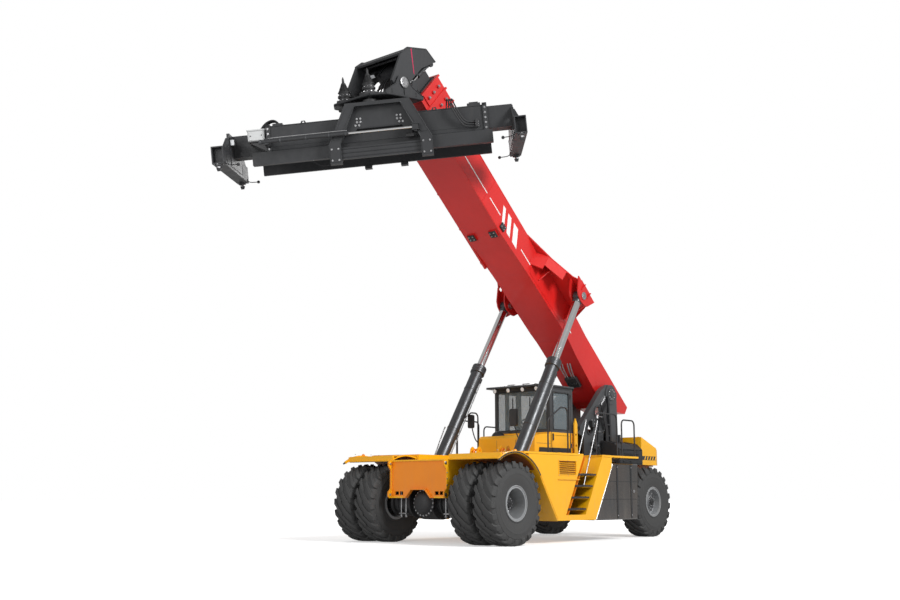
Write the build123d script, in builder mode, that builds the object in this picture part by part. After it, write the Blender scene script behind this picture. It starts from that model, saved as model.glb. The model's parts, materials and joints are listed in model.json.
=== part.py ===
from build123d import *
import os
from math import atan2, cos, degrees, hypot, radians, sin

# Reach stacker for loaded containers, in millimetres.
# Working frame: X forward from the front axle, Y to the driver's left from the centre plane, Z up from the
# ground.  Every piece is shifted on export so that the origin is on the ground below the middle of the
# whole machine's box.
os.makedirs("parts", exist_ok=True)

# ------------------------------------------------------------------ driving dimensions
ORIGIN_SHIFT = Vector(1372.5, 155.6, 0)     # from the front axle frame to the stored frame

WHEELBASE = 6000
TYRE_R = 807.5
TYRE_W = 500
RIM_R = 318
AXLE_Z = 800                            # the tyres are squashed a little by the weight
FRONT_INNER_Y = 1250                    # middle of the inner front tyre
FRONT_OUTER_Y = 1850
REAR_Y = 1380
KINGPIN_Y = 1050

FRAME_Y = 750                           # outer face of the frame rails between the front wheels
REAR_FRAME_Y = 500                      # outer face between the steered wheels
RAIL_W = 110
FRAME_TOP = 1640
FRAME_BOTTOM = 1060
BODY_Y = 2050                           # outer face of the side bodies
DECK_TOP = 1800
PLATE = 20

PIVOT_X = -5900                         # boom foot pin
PIVOT_Z = 3360
BOOM_ANGLE = 40.7                       # as parked
BOOM_Y = 470                            # half width of the outer boom
BOOM_TOP = 500                          # top plate above the foot pin's line
COLLAR_START = 8280
COLLAR_END = 8960
INNER_Y = 400
HEAD_Y = 600                            # inner face of the head's side plates
HEAD_PIN = (9520, -700)                 # pin of the hanging yoke, along and above the boom's line

LIFT_FOOT = (-1120, 1250)               # x, z of the lift cylinders' foot pins
LIFT_Y = 1050
LIFT_EYE = (2910, 250)                  # rod eyes, in the boom's frame
DAMPER_Y = 520
DAMPER_TOP = (9274, 463)                # in the boom's frame
DAMPER_EYE = (-470, 110)                # in the yoke's frame

YOKE_TILT = 8.9                         # the load frame hangs front down
SLEW = 38.9                             # turned to the left of square
SIDE_SHIFT = -200                       # load frame shifted to the right


# ------------------------------------------------------------------ frames
def direction_frame(x, y, z, angle):
    """A frame whose x axis rises by angle in the machine's side view."""
    rise = radians(angle)
    return Plane(origin=(x, y, z), x_dir=(cos(rise), 0, sin(rise)), z_dir=(-sin(rise), 0, cos(rise)))


MACHINE = Plane.XY
BOOM = direction_frame(PIVOT_X, 0, PIVOT_Z, BOOM_ANGLE)
HEAD_POINT = BOOM.from_local_coords((HEAD_PIN[0], 0, HEAD_PIN[1]))
YOKE = direction_frame(HEAD_POINT.X, 0, HEAD_POINT.Z, -YOKE_TILT)
CARRIER = Plane(YOKE.location * Location((0, 0, 0), (0, 0, SLEW)))
LOAD_FRAME = Plane(YOKE.location * Location((0, 0, 0), (0, 0, SLEW)) * Location((0, SIDE_SHIFT, 0)))
LIFT_EYE_POINT = BOOM.from_local_coords((LIFT_EYE[0], 0, LIFT_EYE[1]))
LIFT_RUN = LIFT_EYE_POINT - Vector(LIFT_FOOT[0], 0, LIFT_FOOT[1])
LIFT_LENGTH = hypot(LIFT_RUN.X, LIFT_RUN.Z)
LIFT = direction_frame(LIFT_FOOT[0], 0, LIFT_FOOT[1], degrees(atan2(LIFT_RUN.Z, LIFT_RUN.X)))
DAMPER_TOP_POINT = BOOM.from_local_coords((DAMPER_TOP[0], 0, DAMPER_TOP[1]))
DAMPER_EYE_POINT = YOKE.from_local_coords((DAMPER_EYE[0], 0, DAMPER_EYE[1]))
DAMPER_RUN = DAMPER_EYE_POINT - DAMPER_TOP_POINT
DAMPER_LENGTH = hypot(DAMPER_RUN.X, DAMPER_RUN.Z)
DAMPER = direction_frame(DAMPER_TOP_POINT.X, 0, DAMPER_TOP_POINT.Z,
                         degrees(atan2(DAMPER_RUN.Z, DAMPER_RUN.X)))


def save(part, label, frame=MACHINE):
    """Place a piece that was drawn in its own frame, and write it."""
    placed = part.moved(Location(ORIGIN_SHIFT) * frame.location)
    placed.label = label
    export_step(placed, f"parts/{label}.step")


# ------------------------------------------------------------------ shape helpers, used inside a part block
def side_slab(points, y_from, y_to, mode=Mode.ADD):
    """An outline in the side view (x, z), between two y values."""
    with BuildSketch(Plane.XZ.offset(-y_from)) as outline:
        with BuildLine():
            Polyline(*points, close=True)
        make_face()
    extrude(outline.sketch, amount=-(y_to - y_from), mode=mode)


def plan_slab(points, z_from, z_to, mode=Mode.ADD):
    """An outline seen from above (x, y), between two z values."""
    with BuildSketch(Plane.XY.offset(z_from)) as outline:
        with BuildLine():
            Polyline(*points, close=True)
        make_face()
    extrude(outline.sketch, amount=z_to - z_from, mode=mode)


def front_slab(points, x_from, x_to, mode=Mode.ADD):
    """An outline seen from the front (y, z), between two x values."""
    with BuildSketch(Plane.YZ.offset(x_from)) as outline:
        with BuildLine():
            Polyline(*points, close=True)
        make_face()
    extrude(outline.sketch, amount=x_to - x_from, mode=mode)


def block(x_from, x_to, y_from, y_to, z_from, z_to, mode=Mode.ADD):
    with Locations(((x_from + x_to) / 2, (y_from + y_to) / 2, (z_from + z_to) / 2)):
        Box(abs(x_to - x_from), abs(y_to - y_from), abs(z_to - z_from), mode=mode)


def cross_pin(x, z, radius, y_from, y_to, mode=Mode.ADD):
    """A round bar, boss or hole along Y."""
    with Locations(Location((x, (y_from + y_to) / 2, z), (90, 0, 0))):
        Cylinder(radius, abs(y_to - y_from), mode=mode)


def post(x, y, radius, z_from, z_to, mode=Mode.ADD):
    with Locations((x, y, (z_from + z_to) / 2)):
        Cylinder(radius, z_to - z_from, mode=mode)


def bar(radius, x_from, x_to, y=0, z=0, mode=Mode.ADD):
    """A round bar along X."""
    with Locations(Location(((x_from + x_to) / 2, y, z), (0, 90, 0))):
        Cylinder(radius, x_to - x_from, mode=mode)


# ------------------------------------------------------------------ frame and axles
REAR_X = -WHEELBASE
FRAME_REAR = -6980
TAIL_START = -4700                      # the rails close in ahead of the steered wheels
TAIL_TAPER = -4950

with BuildPart() as main_frame:
    for side in (1, -1):
        plan_slab([(430, side * FRAME_Y), (TAIL_START, side * FRAME_Y), (TAIL_TAPER, side * REAR_FRAME_Y),
                   (FRAME_REAR, side * REAR_FRAME_Y), (FRAME_REAR, side * (REAR_FRAME_Y - RAIL_W)),
                   (TAIL_TAPER - 30, side * (REAR_FRAME_Y - RAIL_W)),
                   (TAIL_START - 30, side * (FRAME_Y - RAIL_W)),
                   (430, side * (FRAME_Y - RAIL_W))], FRAME_BOTTOM, FRAME_TOP)
    # cross members between the rails: place along X, half width, bottom
    for member_x, member_y, member_z in ((150, 645, 1200), (-1120, 645, 1060), (-2900, 645, 1060),
                                         (-4500, 645, 1060), (-5500, 395, 1060), (-6700, 395, 1060)):
        block(member_x - 90, member_x + 90, -member_y, member_y, member_z, FRAME_TOP)
    for side in (1, -1):
        # brackets of the lift cylinders' foot pins, an inner and an outer cheek
        for cheek_y in (LIFT_Y - 190, LIFT_Y + 150):
            side_slab([(-1380, FRAME_BOTTOM), (-1000, FRAME_BOTTOM), (-1000, 1330), (-1060, 1380),
                       (-1200, 1380),
                       (-1380, 1180)], side * cheek_y, side * (cheek_y + 40))
        block(-1380, -1000, side * FRAME_Y, side * (LIFT_Y + 190), FRAME_BOTTOM, FRAME_BOTTOM + 22)
        cross_pin(*LIFT_FOOT, 60.08, side * (FRAME_Y - 20), side * (LIFT_Y + 210), Mode.SUBTRACT)
save(main_frame.part, "main_frame")

FRONT_X = 470
NOTCH = [(330, 900), (180, 1060), (-180, 1060), (-330, 900)]
NOTCH_RIM = [(365, 900), (197, 1085), (-197, 1085), (-365, 900)]
with BuildPart() as front_plate:
    front_slab([(-FRAME_Y, 1650), (FRAME_Y, 1650), (FRAME_Y, 900), (365, 900), (-365, 900), (-FRAME_Y, 900)],
               FRONT_X - 30, FRONT_X)
    front_slab(NOTCH_RIM, FRONT_X - 40, FRONT_X + 45)
    front_slab([(350, 890), *NOTCH, (-350, 890)], FRONT_X - 50, FRONT_X + 60, Mode.SUBTRACT)
    block(FRONT_X - 40, FRONT_X + 30, -FRAME_Y, FRAME_Y, 1632, 1650)
    for side in (1, -1):
        # folded flange with an upper and a lower ear
        side_slab([(FRONT_X - 30, 1650), (FRONT_X + 60, 1650), (FRONT_X + 105, 1615), (FRONT_X + 105, 1540),
                   (FRONT_X + 35, 1455), (FRONT_X + 35, 1085), (FRONT_X + 105, 1010), (FRONT_X + 105, 930),
                   (FRONT_X + 75, 900), (FRONT_X - 30, 900)], side * (FRAME_Y - 25), side * FRAME_Y)
        for hole_z in (1580, 965):
            cross_pin(FRONT_X + 62, hole_z, 24, side * (FRAME_Y - 40), side * (FRAME_Y + 10), Mode.SUBTRACT)
        for hole_z in (1390, 1270, 1150):
            cross_pin(FRONT_X + 18, hole_z, 8, side * (FRAME_Y - 40), side * (FRAME_Y + 10), Mode.SUBTRACT)
        # tow slot with a pin across it
        block(FRONT_X - 60, FRONT_X + 20, side * 420, side * 640, 960, 1030, Mode.SUBTRACT)
        post(FRONT_X - 15, side * 530, 16, 955, 1035)
save(front_plate.part, "front_plate")

with BuildPart() as front_axle:
    cross_pin(0, AXLE_Z, 190, -960, 960)
    with BuildSketch(Plane.XZ):
        with Locations((0, AXLE_Z)):
            Circle(330)
    extrude(amount=230, both=True)
    with Locations((150, 0, AXLE_Z)):
        Sphere(250)
    for side in (1, -1):
        block(-250, 250, side * 470, side * 720, AXLE_Z + 120, FRAME_BOTTOM - 1)
        cross_pin(0, AXLE_Z, 260, side * 440, side * 740)
        cross_pin(0, AXLE_Z, 250, side * 900, side * 960)
        cross_pin(0, AXLE_Z, 115, side * 950, side * 1640)
save(front_axle.part, "front_axle")

with BuildPart() as rear_axle:
    plan_slab([(REAR_X - 230, -500), (REAR_X - 180, -930), (REAR_X + 180, -930), (REAR_X + 230, -500),
               (REAR_X + 230, 500), (REAR_X + 180, 930), (REAR_X - 180, 930), (REAR_X - 230, 500)],
              AXLE_Z - 150, AXLE_Z + 150)
    block(REAR_X - 200, REAR_X + 200, -250, 250, AXLE_Z + 140, FRAME_BOTTOM + 200)
    cross_pin(REAR_X, FRAME_BOTTOM + 150, 90, -385, 385)
    for side in (1, -1):
        for fork_z in (AXLE_Z - 150, AXLE_Z + 90):
            block(REAR_X - 110, REAR_X + 110, side * 900, side * KINGPIN_Y, fork_z, fork_z + 60)
            post(REAR_X, side * KINGPIN_Y, 110, fork_z, fork_z + 60)
        post(REAR_X, side * KINGPIN_Y, 45, AXLE_Z - 170, AXLE_Z + 170)
        block(REAR_X - 120, REAR_X + 120, side * 930, side * 1100, AXLE_Z - 90, AXLE_Z + 90, Mode.SUBTRACT)
        # the steering arm sweeps through here
        block(REAR_X - 300, REAR_X - 15, side * 790, side * 1100, AXLE_Z - 90, AXLE_Z + 10, Mode.SUBTRACT)
        post(REAR_X, side * KINGPIN_Y, 45, AXLE_Z - 95, AXLE_Z + 95)
    bar(95, REAR_X - 330, REAR_X + 100, 0, AXLE_Z + 40)
save(rear_axle.part, "rear_axle")


def make_knuckle(side, label):
    """The steered stub: a bored block on the kingpin, a spindle and a steering arm."""
    with BuildPart() as knuckle:
        post(REAR_X, side * KINGPIN_Y, 100, AXLE_Z - 84, AXLE_Z + 84)
        block(REAR_X - 75, REAR_X + 75, side * KINGPIN_Y, side * 1190, AXLE_Z - 84, AXLE_Z + 84)
        cross_pin(REAR_X, AXLE_Z, 160, side * 1170, side * 1205)
        cross_pin(REAR_X, AXLE_Z, 70, side * 1190, side * 1440)
        plan_slab([(REAR_X - 60, side * (KINGPIN_Y - 60)), (REAR_X - 60, side * (KINGPIN_Y + 60)),
                   (REAR_X - 250, side * (KINGPIN_Y - 20)), (REAR_X - 250, side * (KINGPIN_Y - 80))],
                  AXLE_Z - 60, AXLE_Z - 20)
        post(REAR_X, side * KINGPIN_Y, 45.08, AXLE_Z - 100, AXLE_Z + 100, Mode.SUBTRACT)
    save(knuckle.part, label)


make_knuckle(1, "left_knuckle")
make_knuckle(-1, "right_knuckle")

# ------------------------------------------------------------------ wheels
# half section of a tyre, width from the middle and radius
TYRE_OUTLINE = ((150, RIM_R + 1), (185, RIM_R + 1), (200, RIM_R + 30), (235, RIM_R + 130),
                (TYRE_W / 2, 560), (238, 690),
                (205, 772), (120, 801), (0, TYRE_R))


def tyre_solid(x, y):
    """A worn-in cross-ply tyre on the axle line at x, standing on the ground."""
    with BuildSketch(Plane.YZ.offset(x)) as section:
        with BuildLine():
            right = [(y + width, AXLE_Z + radius) for width, radius in TYRE_OUTLINE]
            left = [(y - width, AXLE_Z + radius) for width, radius in reversed(TYRE_OUTLINE[:-1])]
            Polyline(*right, *left, close=True)
        make_face()
    revolve(section.sketch, axis=Axis((x, 0, AXLE_Z), (0, 1, 0)))


def flat_spot(x, y):
    """The tyre rests flat on the ground."""
    block(x - 400, x + 400, y - TYRE_W, y + TYRE_W, -60, 0, Mode.SUBTRACT)


def make_front_wheels(side, name):
    """Twin wheels of one hub: two tyres in a node, two rims and the hub in another."""
    with BuildPart() as tyres:
        for y in (FRONT_INNER_Y, FRONT_OUTER_Y):
            tyre_solid(0, side * y)
            flat_spot(0, side * y)
    save(tyres.part, f"{name}_tyres")
    inner_edge = FRONT_INNER_Y - 245
    outer_edge = FRONT_OUTER_Y + 245
    with BuildPart() as rims:
        with BuildSketch(Plane.YZ):
            with BuildLine():
                Polyline(*[(side * y, AXLE_Z + radius) for y, radius in (
                    (inner_edge + 30, RIM_R + 22), (inner_edge + 30, RIM_R - 30), (1480, RIM_R - 30),
                    (1600, 250), (1600, 118), (1660, 118), (1660, 235), (1700, RIM_R - 30),
                    (outer_edge - 30, RIM_R - 30), (outer_edge - 30, RIM_R + 22),
                    (outer_edge - 44, RIM_R + 22),
                    (outer_edge - 60, RIM_R), (inner_edge + 60, RIM_R),
                    (inner_edge + 44, RIM_R + 22))], close=True)
            make_face()
        revolve(axis=Axis((0, 0, AXLE_Z), (0, 1, 0)))
        with BuildSketch(Plane.YZ):
            with BuildLine():
                Polyline(*[(side * y, AXLE_Z + radius) for y, radius in (
                    (1660, 0), (1660, 190), (1780, 180), (1800, 150), (1880, 130), (1880, 0))], close=True)
            make_face()
        revolve(axis=Axis((0, 0, AXLE_Z), (0, 1, 0)))
        cross_pin(0, AXLE_Z, 115.3, side * 900, side * 1645, Mode.SUBTRACT)
        # wheel nuts
        with Locations(Location((0, side * 1690, AXLE_Z), (90, 0, 0))):
            with PolarLocations(215, 12):
                Cylinder(18, 62)
    save(rims.part, f"{name}_rims")


def make_rear_wheel(side, name):
    """One steered wheel: tyre, rim with a shallow disc, hub and nuts."""
    with BuildPart() as tyre:
        tyre_solid(REAR_X, side * REAR_Y)
        flat_spot(REAR_X, side * REAR_Y)
    save(tyre.part, f"{name}_tyre")
    with BuildPart() as rim:
        with BuildSketch(Plane.YZ.offset(REAR_X)):
            with BuildLine():
                Polyline(*[(side * y, AXLE_Z + radius) for y, radius in (
                    (1215, 255), (1240, RIM_R - 28), (1165, RIM_R - 28), (1165, RIM_R + 22),
                    (1179, RIM_R + 22),
                    (1195, RIM_R), (1565, RIM_R), (1581, RIM_R + 22), (1595, RIM_R + 22), (1595, RIM_R - 28),
                    (1460, RIM_R - 28), (1440, 250), (1455, 150), (1540, 120), (1540, 0), (1445, 0),
                    (1445, 72),
                    (1300, 72), (1300, 140), (1410, 160), (1410, 240), (1430, RIM_R - 45), (1290, RIM_R - 45),
                    (1260, 235))], close=True)
            make_face()
        revolve(axis=Axis((REAR_X, 0, AXLE_Z), (0, 1, 0)))
        with Locations(Location((REAR_X, side * 1450, AXLE_Z), (90, 0, 0))):
            with PolarLocations(200, 10):
                Cylinder(20, 70)
    save(rim.part, f"{name}_rim")


make_front_wheels(1, "front_left")
make_front_wheels(-1, "front_right")
make_rear_wheel(1, "rear_left")
make_rear_wheel(-1, "rear_right")

# ------------------------------------------------------------------ fenders, side bodies, tanks and deck
ARCH_R = 950                            # inside of the front mudguards
ARCH_T = 22


def make_fender(side, label):
    """A rolled mudguard over the twin tyres, and the level rail that carries its front edge."""
    with BuildPart() as fender:
        with BuildSketch(Plane.XZ.offset(-side * (FRAME_Y + 5))):
            with BuildLine():
                arc = CenterArc((0, AXLE_Z), ARCH_R + ARCH_T / 2, 62, 78)
                Line(arc @ 1, (-1375, 450))
            trace(line_width=ARCH_T)
        extrude(amount=-side * (BODY_Y + 15 - FRAME_Y))
        # thick rolled lip along the outer edge
        with BuildSketch(Plane.XZ.offset(-side * (BODY_Y - 26))):
            with BuildLine():
                CenterArc((0, AXLE_Z), ARCH_R + 20, 58, 86)
            trace(line_width=50)
        extrude(amount=-side * 46)
        block(385, 432, side * (FRAME_Y + 1), side * (BODY_Y - 20), 1668, 1745)
        side_slab([(-430, 1700), (432, 1745), (432, 1752),
                   (-430, 1752)], side * (FRAME_Y + 1), side * (BODY_Y - 60))
        cross_pin(0, AXLE_Z, ARCH_R, side * FRAME_Y, side * (BODY_Y + 60), Mode.SUBTRACT)
    save(fender.part, label)


make_fender(1, "front_left_fender")
make_fender(-1, "front_right_fender")

BODY_INNER_Y = 1290
STAIR_SLOPE = 0.57                      # the stairs lean back as they rise
STAIR_FOOT = 560
STAIR_FRONT = -1700
STAIR_WIDTH = 720
STAIR_BACK_Y = 1420
TREAD_HEIGHTS = (690, 925, 1160, 1395)


def stair_x(z):
    """Front edge of the stair well at height z."""
    return STAIR_FRONT - STAIR_SLOPE * (z - STAIR_FOOT)


def make_side_body(side, label):
    """A welded side body with a stair well, behind the mudguard."""
    with BuildPart() as body:
        side_slab([(-440, 1755), (-440, 1600), (-770, 1450), (-1430, 450), (-2800, 450), (-3230, 1150),
                   (-3480, 1560), (-3480, 1755)], side * BODY_INNER_Y, side * BODY_Y)
        cross_pin(0, AXLE_Z, ARCH_R + 49, side * (BODY_INNER_Y - 10), side * (BODY_Y + 10), Mode.SUBTRACT)
        side_slab([(stair_x(STAIR_FOOT), STAIR_FOOT), (stair_x(STAIR_FOOT) - STAIR_WIDTH, STAIR_FOOT),
                   (stair_x(1760) - STAIR_WIDTH, 1760), (stair_x(1760), 1760)],
                  side * STAIR_BACK_Y, side * (BODY_Y + 10), Mode.SUBTRACT)
        # recessed louvre panel in the outer skin
        block(-2090, -1480, side * (BODY_Y - 30), side * (BODY_Y + 5), 1370, 1640, Mode.SUBTRACT)
        for slat_z in (1390, 1430, 1470, 1510, 1550, 1590):
            front_slab([(side * (BODY_Y - 35), slat_z + 34), (side * (BODY_Y - 35), slat_z + 26),
                        (side * (BODY_Y - 8), slat_z), (side * (BODY_Y - 8), slat_z + 8)], -2095, -1475)
    save(body.part, label)


make_side_body(1, "left_side_body")
make_side_body(-1, "right_side_body")

with BuildPart() as stair_treads:
    for side in (1, -1):
        for tread_z in TREAD_HEIGHTS:
            front = stair_x(tread_z) - 4
            back = front - STAIR_WIDTH + 40
            block(front - 25, back, side * (STAIR_BACK_Y + 2), side * (BODY_Y - 12), tread_z - 35, tread_z)
save(stair_treads.part, "stair_treads")


def make_tank(side, label):
    with BuildPart() as tank:
        side_slab([(-2880, 430), (-4620, 430), (-4690, 1640), (-3600, 1640), (-3320, 1150)],
                  side * (FRAME_Y + 20), side * 1990)
        outer_face = tank.faces().sort_by(Axis.Y)[-1 if side > 0 else 0]
        chamfer(outer_face.edges(), 28)
        cross_pin(-4200, 1640, 70, side * 1500, side * 1640)
    save(tank.part, label)


make_tank(1, "fuel_tank")
make_tank(-1, "hydraulic_tank")

SLOT_X = (-1760, -1190)                 # the lift cylinders come up through slots in the deck
SLOT_Y = (LIFT_Y - 185, LIFT_Y + 185)
with BuildPart() as deck_plates:
    for side in (1, -1):
        plan_slab([(-300, side * (FRAME_Y - 5)), (-300, side * BODY_Y), (-3480, side * BODY_Y),
                   (-3480, side * 2000),
                   (-4700, side * 2000), (-4700, side * (FRAME_Y - 5))], DECK_TOP - 40, DECK_TOP)
        block(*SLOT_X, side * SLOT_Y[0], side * SLOT_Y[1], DECK_TOP - 60, DECK_TOP + 20, Mode.SUBTRACT)
        block(stair_x(1760) + 5, stair_x(1760) - STAIR_WIDTH - 5, side * STAIR_BACK_Y, side * (BODY_Y + 10),
              DECK_TOP - 60, DECK_TOP + 20, Mode.SUBTRACT)
        # kerb blocks along the inner edge of the stair well
        for kerb_x in (-2520, -2690, -2860, -3030):
            block(kerb_x, kerb_x + 90, side * (STAIR_BACK_Y - 72), side * (STAIR_BACK_Y - 4), DECK_TOP - 5,
                  DECK_TOP + 48)
        # the deck stands on the rails and the side bodies
        block(-4690, -300, side * (FRAME_Y - 60), side * (FRAME_Y - 5), FRAME_TOP + 1, DECK_TOP)
    block(-4690, 430, -FRAME_Y + 5, FRAME_Y - 5, FRAME_TOP + 1, FRAME_TOP + 21)
save(deck_plates.part, "deck_plates")

# ------------------------------------------------------------------ boom tower, engine, hood, counterweight
TOWER_Y = (500, 555)                    # inner and outer face of a tower plate
FOOT_PIN_R = 80


def tower_ring(x, z, radius, side):
    """Welded collar round an access hole of a tower plate."""
    with BuildSketch(Plane.XZ.offset(-side * TOWER_Y[1])) as collar:
        with Locations((x, z)):
            Circle(radius + 22)
            Circle(radius, mode=Mode.SUBTRACT)
    extrude(collar.sketch, amount=-side * 22)


with BuildPart() as boom_tower:
    for side in (1, -1):
        side_slab([(-4700, FRAME_TOP + 1), (-4700, 2290), (-4430, 2380), (-4440, 2520), (-5400, 3440),
                   (-5560, 3530), (-5740, 3590), (-5960, 3595), (-6120, 3520), (-6185, 3400), (-6215, 2400),
                   (-6230, FRAME_TOP + 1)], side * TOWER_Y[0], side * TOWER_Y[1])
        for hole_x, hole_z, hole_r in ((-5330, 2890, 150), (-4960, 2480, 110), (-5560, 2340, 190)):
            cross_pin(hole_x, hole_z, hole_r, side * (TOWER_Y[0] - 5), side * (TOWER_Y[1] + 5), Mode.SUBTRACT)
            tower_ring(hole_x, hole_z, hole_r, side)
        cross_pin(PIVOT_X, PIVOT_Z, 235, side * TOWER_Y[0], side * (TOWER_Y[1] + 25))
        # stiffener along the sloping front edge and the back edge
        side_slab([(-4440, 2430), (-4440, 2520), (-5400, 3440), (-5560, 3530), (-5590, 3470), (-5440, 3380)],
                  side * TOWER_Y[1], side * (TOWER_Y[1] + 70))
        block(-6230, -6180, side * TOWER_Y[1], side * (TOWER_Y[1] + 70), FRAME_TOP + 1, 2400)
    block(-6100, -5980, -TOWER_Y[0], TOWER_Y[0], 1700, 2500)
    cross_pin(PIVOT_X, PIVOT_Z, FOOT_PIN_R, -TOWER_Y[1] - 45, TOWER_Y[1] + 45)
save(boom_tower.part, "boom_tower")

with BuildPart() as engine_block:
    block(-5900, -4760, -430, 430, FRAME_TOP + 22, 2330)
save(engine_block.part, "engine_block")

HOOD_Y = (640, 1130)
HOOD_X = (-6370, -5320)
HOOD_TOP = 2090
LOUVRE_X = (-6180, -5520)
LOUVRE_Z = (1790, 1830, 1870, 1910)
with BuildPart() as engine_hood:
    for side in (1, -1):
        front_slab([(side * HOOD_Y[0], FRAME_TOP + 30), (side * HOOD_Y[1], FRAME_TOP + 30),
                    (side * HOOD_Y[1], HOOD_TOP - 60), (side * (HOOD_Y[1] - 130), HOOD_TOP + 60),
                    (side * HOOD_Y[0], HOOD_TOP + 130)], HOOD_X[0], HOOD_X[1])
        front_slab([(side * (HOOD_Y[0] + 25), FRAME_TOP + 55), (side * (HOOD_Y[1] + 10), FRAME_TOP + 55),
                    (side * (HOOD_Y[1] + 10), HOOD_TOP - 85), (side * (HOOD_Y[1] - 150), HOOD_TOP + 30),
                    (side * (HOOD_Y[0] + 25), HOOD_TOP + 100)], HOOD_X[0] + 30, HOOD_X[1] - 30, Mode.SUBTRACT)
    # the right side panel is bolted on
    block(HOOD_X[0] + 29, HOOD_X[1] - 29, -HOOD_Y[1], -HOOD_Y[1] + 20, FRAME_TOP + 54, HOOD_TOP - 84)
    for slot_z in LOUVRE_Z:
        block(*LOUVRE_X, -HOOD_Y[1] - 5, -HOOD_Y[1] + 25, slot_z, slot_z + 16, Mode.SUBTRACT)
save(engine_hood.part, "engine_hood")

with BuildPart() as left_hood_door:
    block(HOOD_X[0] + 36, HOOD_X[1] - 36, HOOD_Y[1] - 20, HOOD_Y[1], FRAME_TOP + 61, HOOD_TOP - 91)
    for slot_z in LOUVRE_Z:
        block(*LOUVRE_X, HOOD_Y[1] - 25, HOOD_Y[1] + 5, slot_z, slot_z + 16, Mode.SUBTRACT)
    block(-5900, -5800, HOOD_Y[1] - 1, HOOD_Y[1] + 18, FRAME_TOP + 80, FRAME_TOP + 105)
    # hinge leaves and knuckles along the top edge
    for hinge_x in (-6200, -5620):
        block(hinge_x, hinge_x + 130, HOOD_Y[1] - 1, HOOD_Y[1] + 6, 1950, HOOD_TOP - 91)
        bar(8, hinge_x, hinge_x + 130, HOOD_Y[1] + 9, HOOD_TOP - 90)
save(left_hood_door.part, "left_hood_door")

with BuildPart() as counterweight:
    side_slab([(-6376, 1672), (-7230, 1672), (-7295, 1740), (-7300, 1960), (-7250, 2030), (-6376, 2340)],
              -1100, 1100)
    side_slab([(-7035, 1680), (-7035, 980), (-7200, 900), (-7290, 1000), (-7290, 1680)], -470, 470)
    block(-6400, -6300, -480, 480, 1800, 2300)
    plan_slab([(-6290, -1100), (-7080, -1100), (-7230, -1040), (-7300, -900), (-7300, 900), (-7230, 1040),
               (-7080, 1100), (-6290, 1100)], 850, 2400, Mode.INTERSECT)
    # pocket and pin for towing backwards, and lifting eyes on top
    block(-7320, -7180, -110, 110, 1080, 1230, Mode.SUBTRACT)
    post(-7245, 0, 28, 1070, 1240)
    for side in (1, -1):
        side_slab([(-6540, 2200), (-6540, 2330), (-6580, 2360), (-6640, 2360), (-6680, 2320), (-6680, 2200)],
                  side * 860, side * 895)
        cross_pin(-6610, 2305, 26, side * 850, side * 905, Mode.SUBTRACT)
save(counterweight.part, "counterweight")

# ------------------------------------------------------------------ cab
CAB_FRONT = -3030
CAB_REAR = -4350
CAB_Y = 770
CAB_FLOOR = 1805
CAB_SILL = 2330
CAB_TOP = 3340
WALL = 45
CAB_PLAN = [(CAB_FRONT, -CAB_Y), (CAB_FRONT, CAB_Y), (-3930, CAB_Y), (CAB_REAR, 480), (CAB_REAR, -480),
            (-3930, -CAB_Y)]
CAB_PLAN_INSIDE = [(CAB_FRONT - WALL, -CAB_Y + WALL), (CAB_FRONT - WALL, CAB_Y - WALL), (-3915, CAB_Y - WALL),
                   (CAB_REAR + WALL, 455), (CAB_REAR + WALL, -455), (-3915, -CAB_Y + WALL)]
DOOR_X = (-3840, -3075)
DOOR_Z = (CAB_FLOOR + 50, CAB_TOP - 45)
NOSE_FRONT = -2430

with BuildPart() as cab_tub:
    plan_slab(CAB_PLAN, CAB_FLOOR, CAB_SILL)
    side_slab([(CAB_FRONT - 10, CAB_FLOOR), (NOSE_FRONT, CAB_FLOOR), (NOSE_FRONT, 2190),
               (NOSE_FRONT - 60, 2250),
               (CAB_FRONT - 10, 2300)], -CAB_Y, CAB_Y)
    plan_slab(CAB_PLAN_INSIDE, CAB_FLOOR + WALL, CAB_SILL + 5, Mode.SUBTRACT)
    side_slab([(CAB_FRONT - 50, CAB_FLOOR + WALL), (NOSE_FRONT - WALL, CAB_FLOOR + WALL),
               (NOSE_FRONT - WALL, 2160), (NOSE_FRONT - 90, 2200), (CAB_FRONT - 50, 2250)],
              -CAB_Y + WALL, CAB_Y - WALL, Mode.SUBTRACT)
    block(DOOR_X[0] - 6, DOOR_X[1] + 6, CAB_Y - WALL - 5, CAB_Y + 5, DOOR_Z[0] - 6, CAB_SILL + 5,
          Mode.SUBTRACT)
save(cab_tub.part, "cab_tub")

WINDOW_Z = (CAB_SILL + 60, CAB_TOP - 70)
REAR_CORNER = ((-3930 + CAB_REAR) / 2, (CAB_Y + 480) / 2)
REAR_ANGLE = degrees(atan2(CAB_Y - 480, -3930 - CAB_REAR))


def corner_window(side, thickness, half_width, mode=Mode.ADD):
    """Opening or pane in a slanted rear corner panel."""
    with Locations(Location((REAR_CORNER[0] + 10, side * (REAR_CORNER[1] - 14), sum(WINDOW_Z) / 2),
                            (0, 0, side * REAR_ANGLE))):
        Box(half_width * 2, thickness, WINDOW_Z[1] - WINDOW_Z[0], mode=mode)


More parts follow.
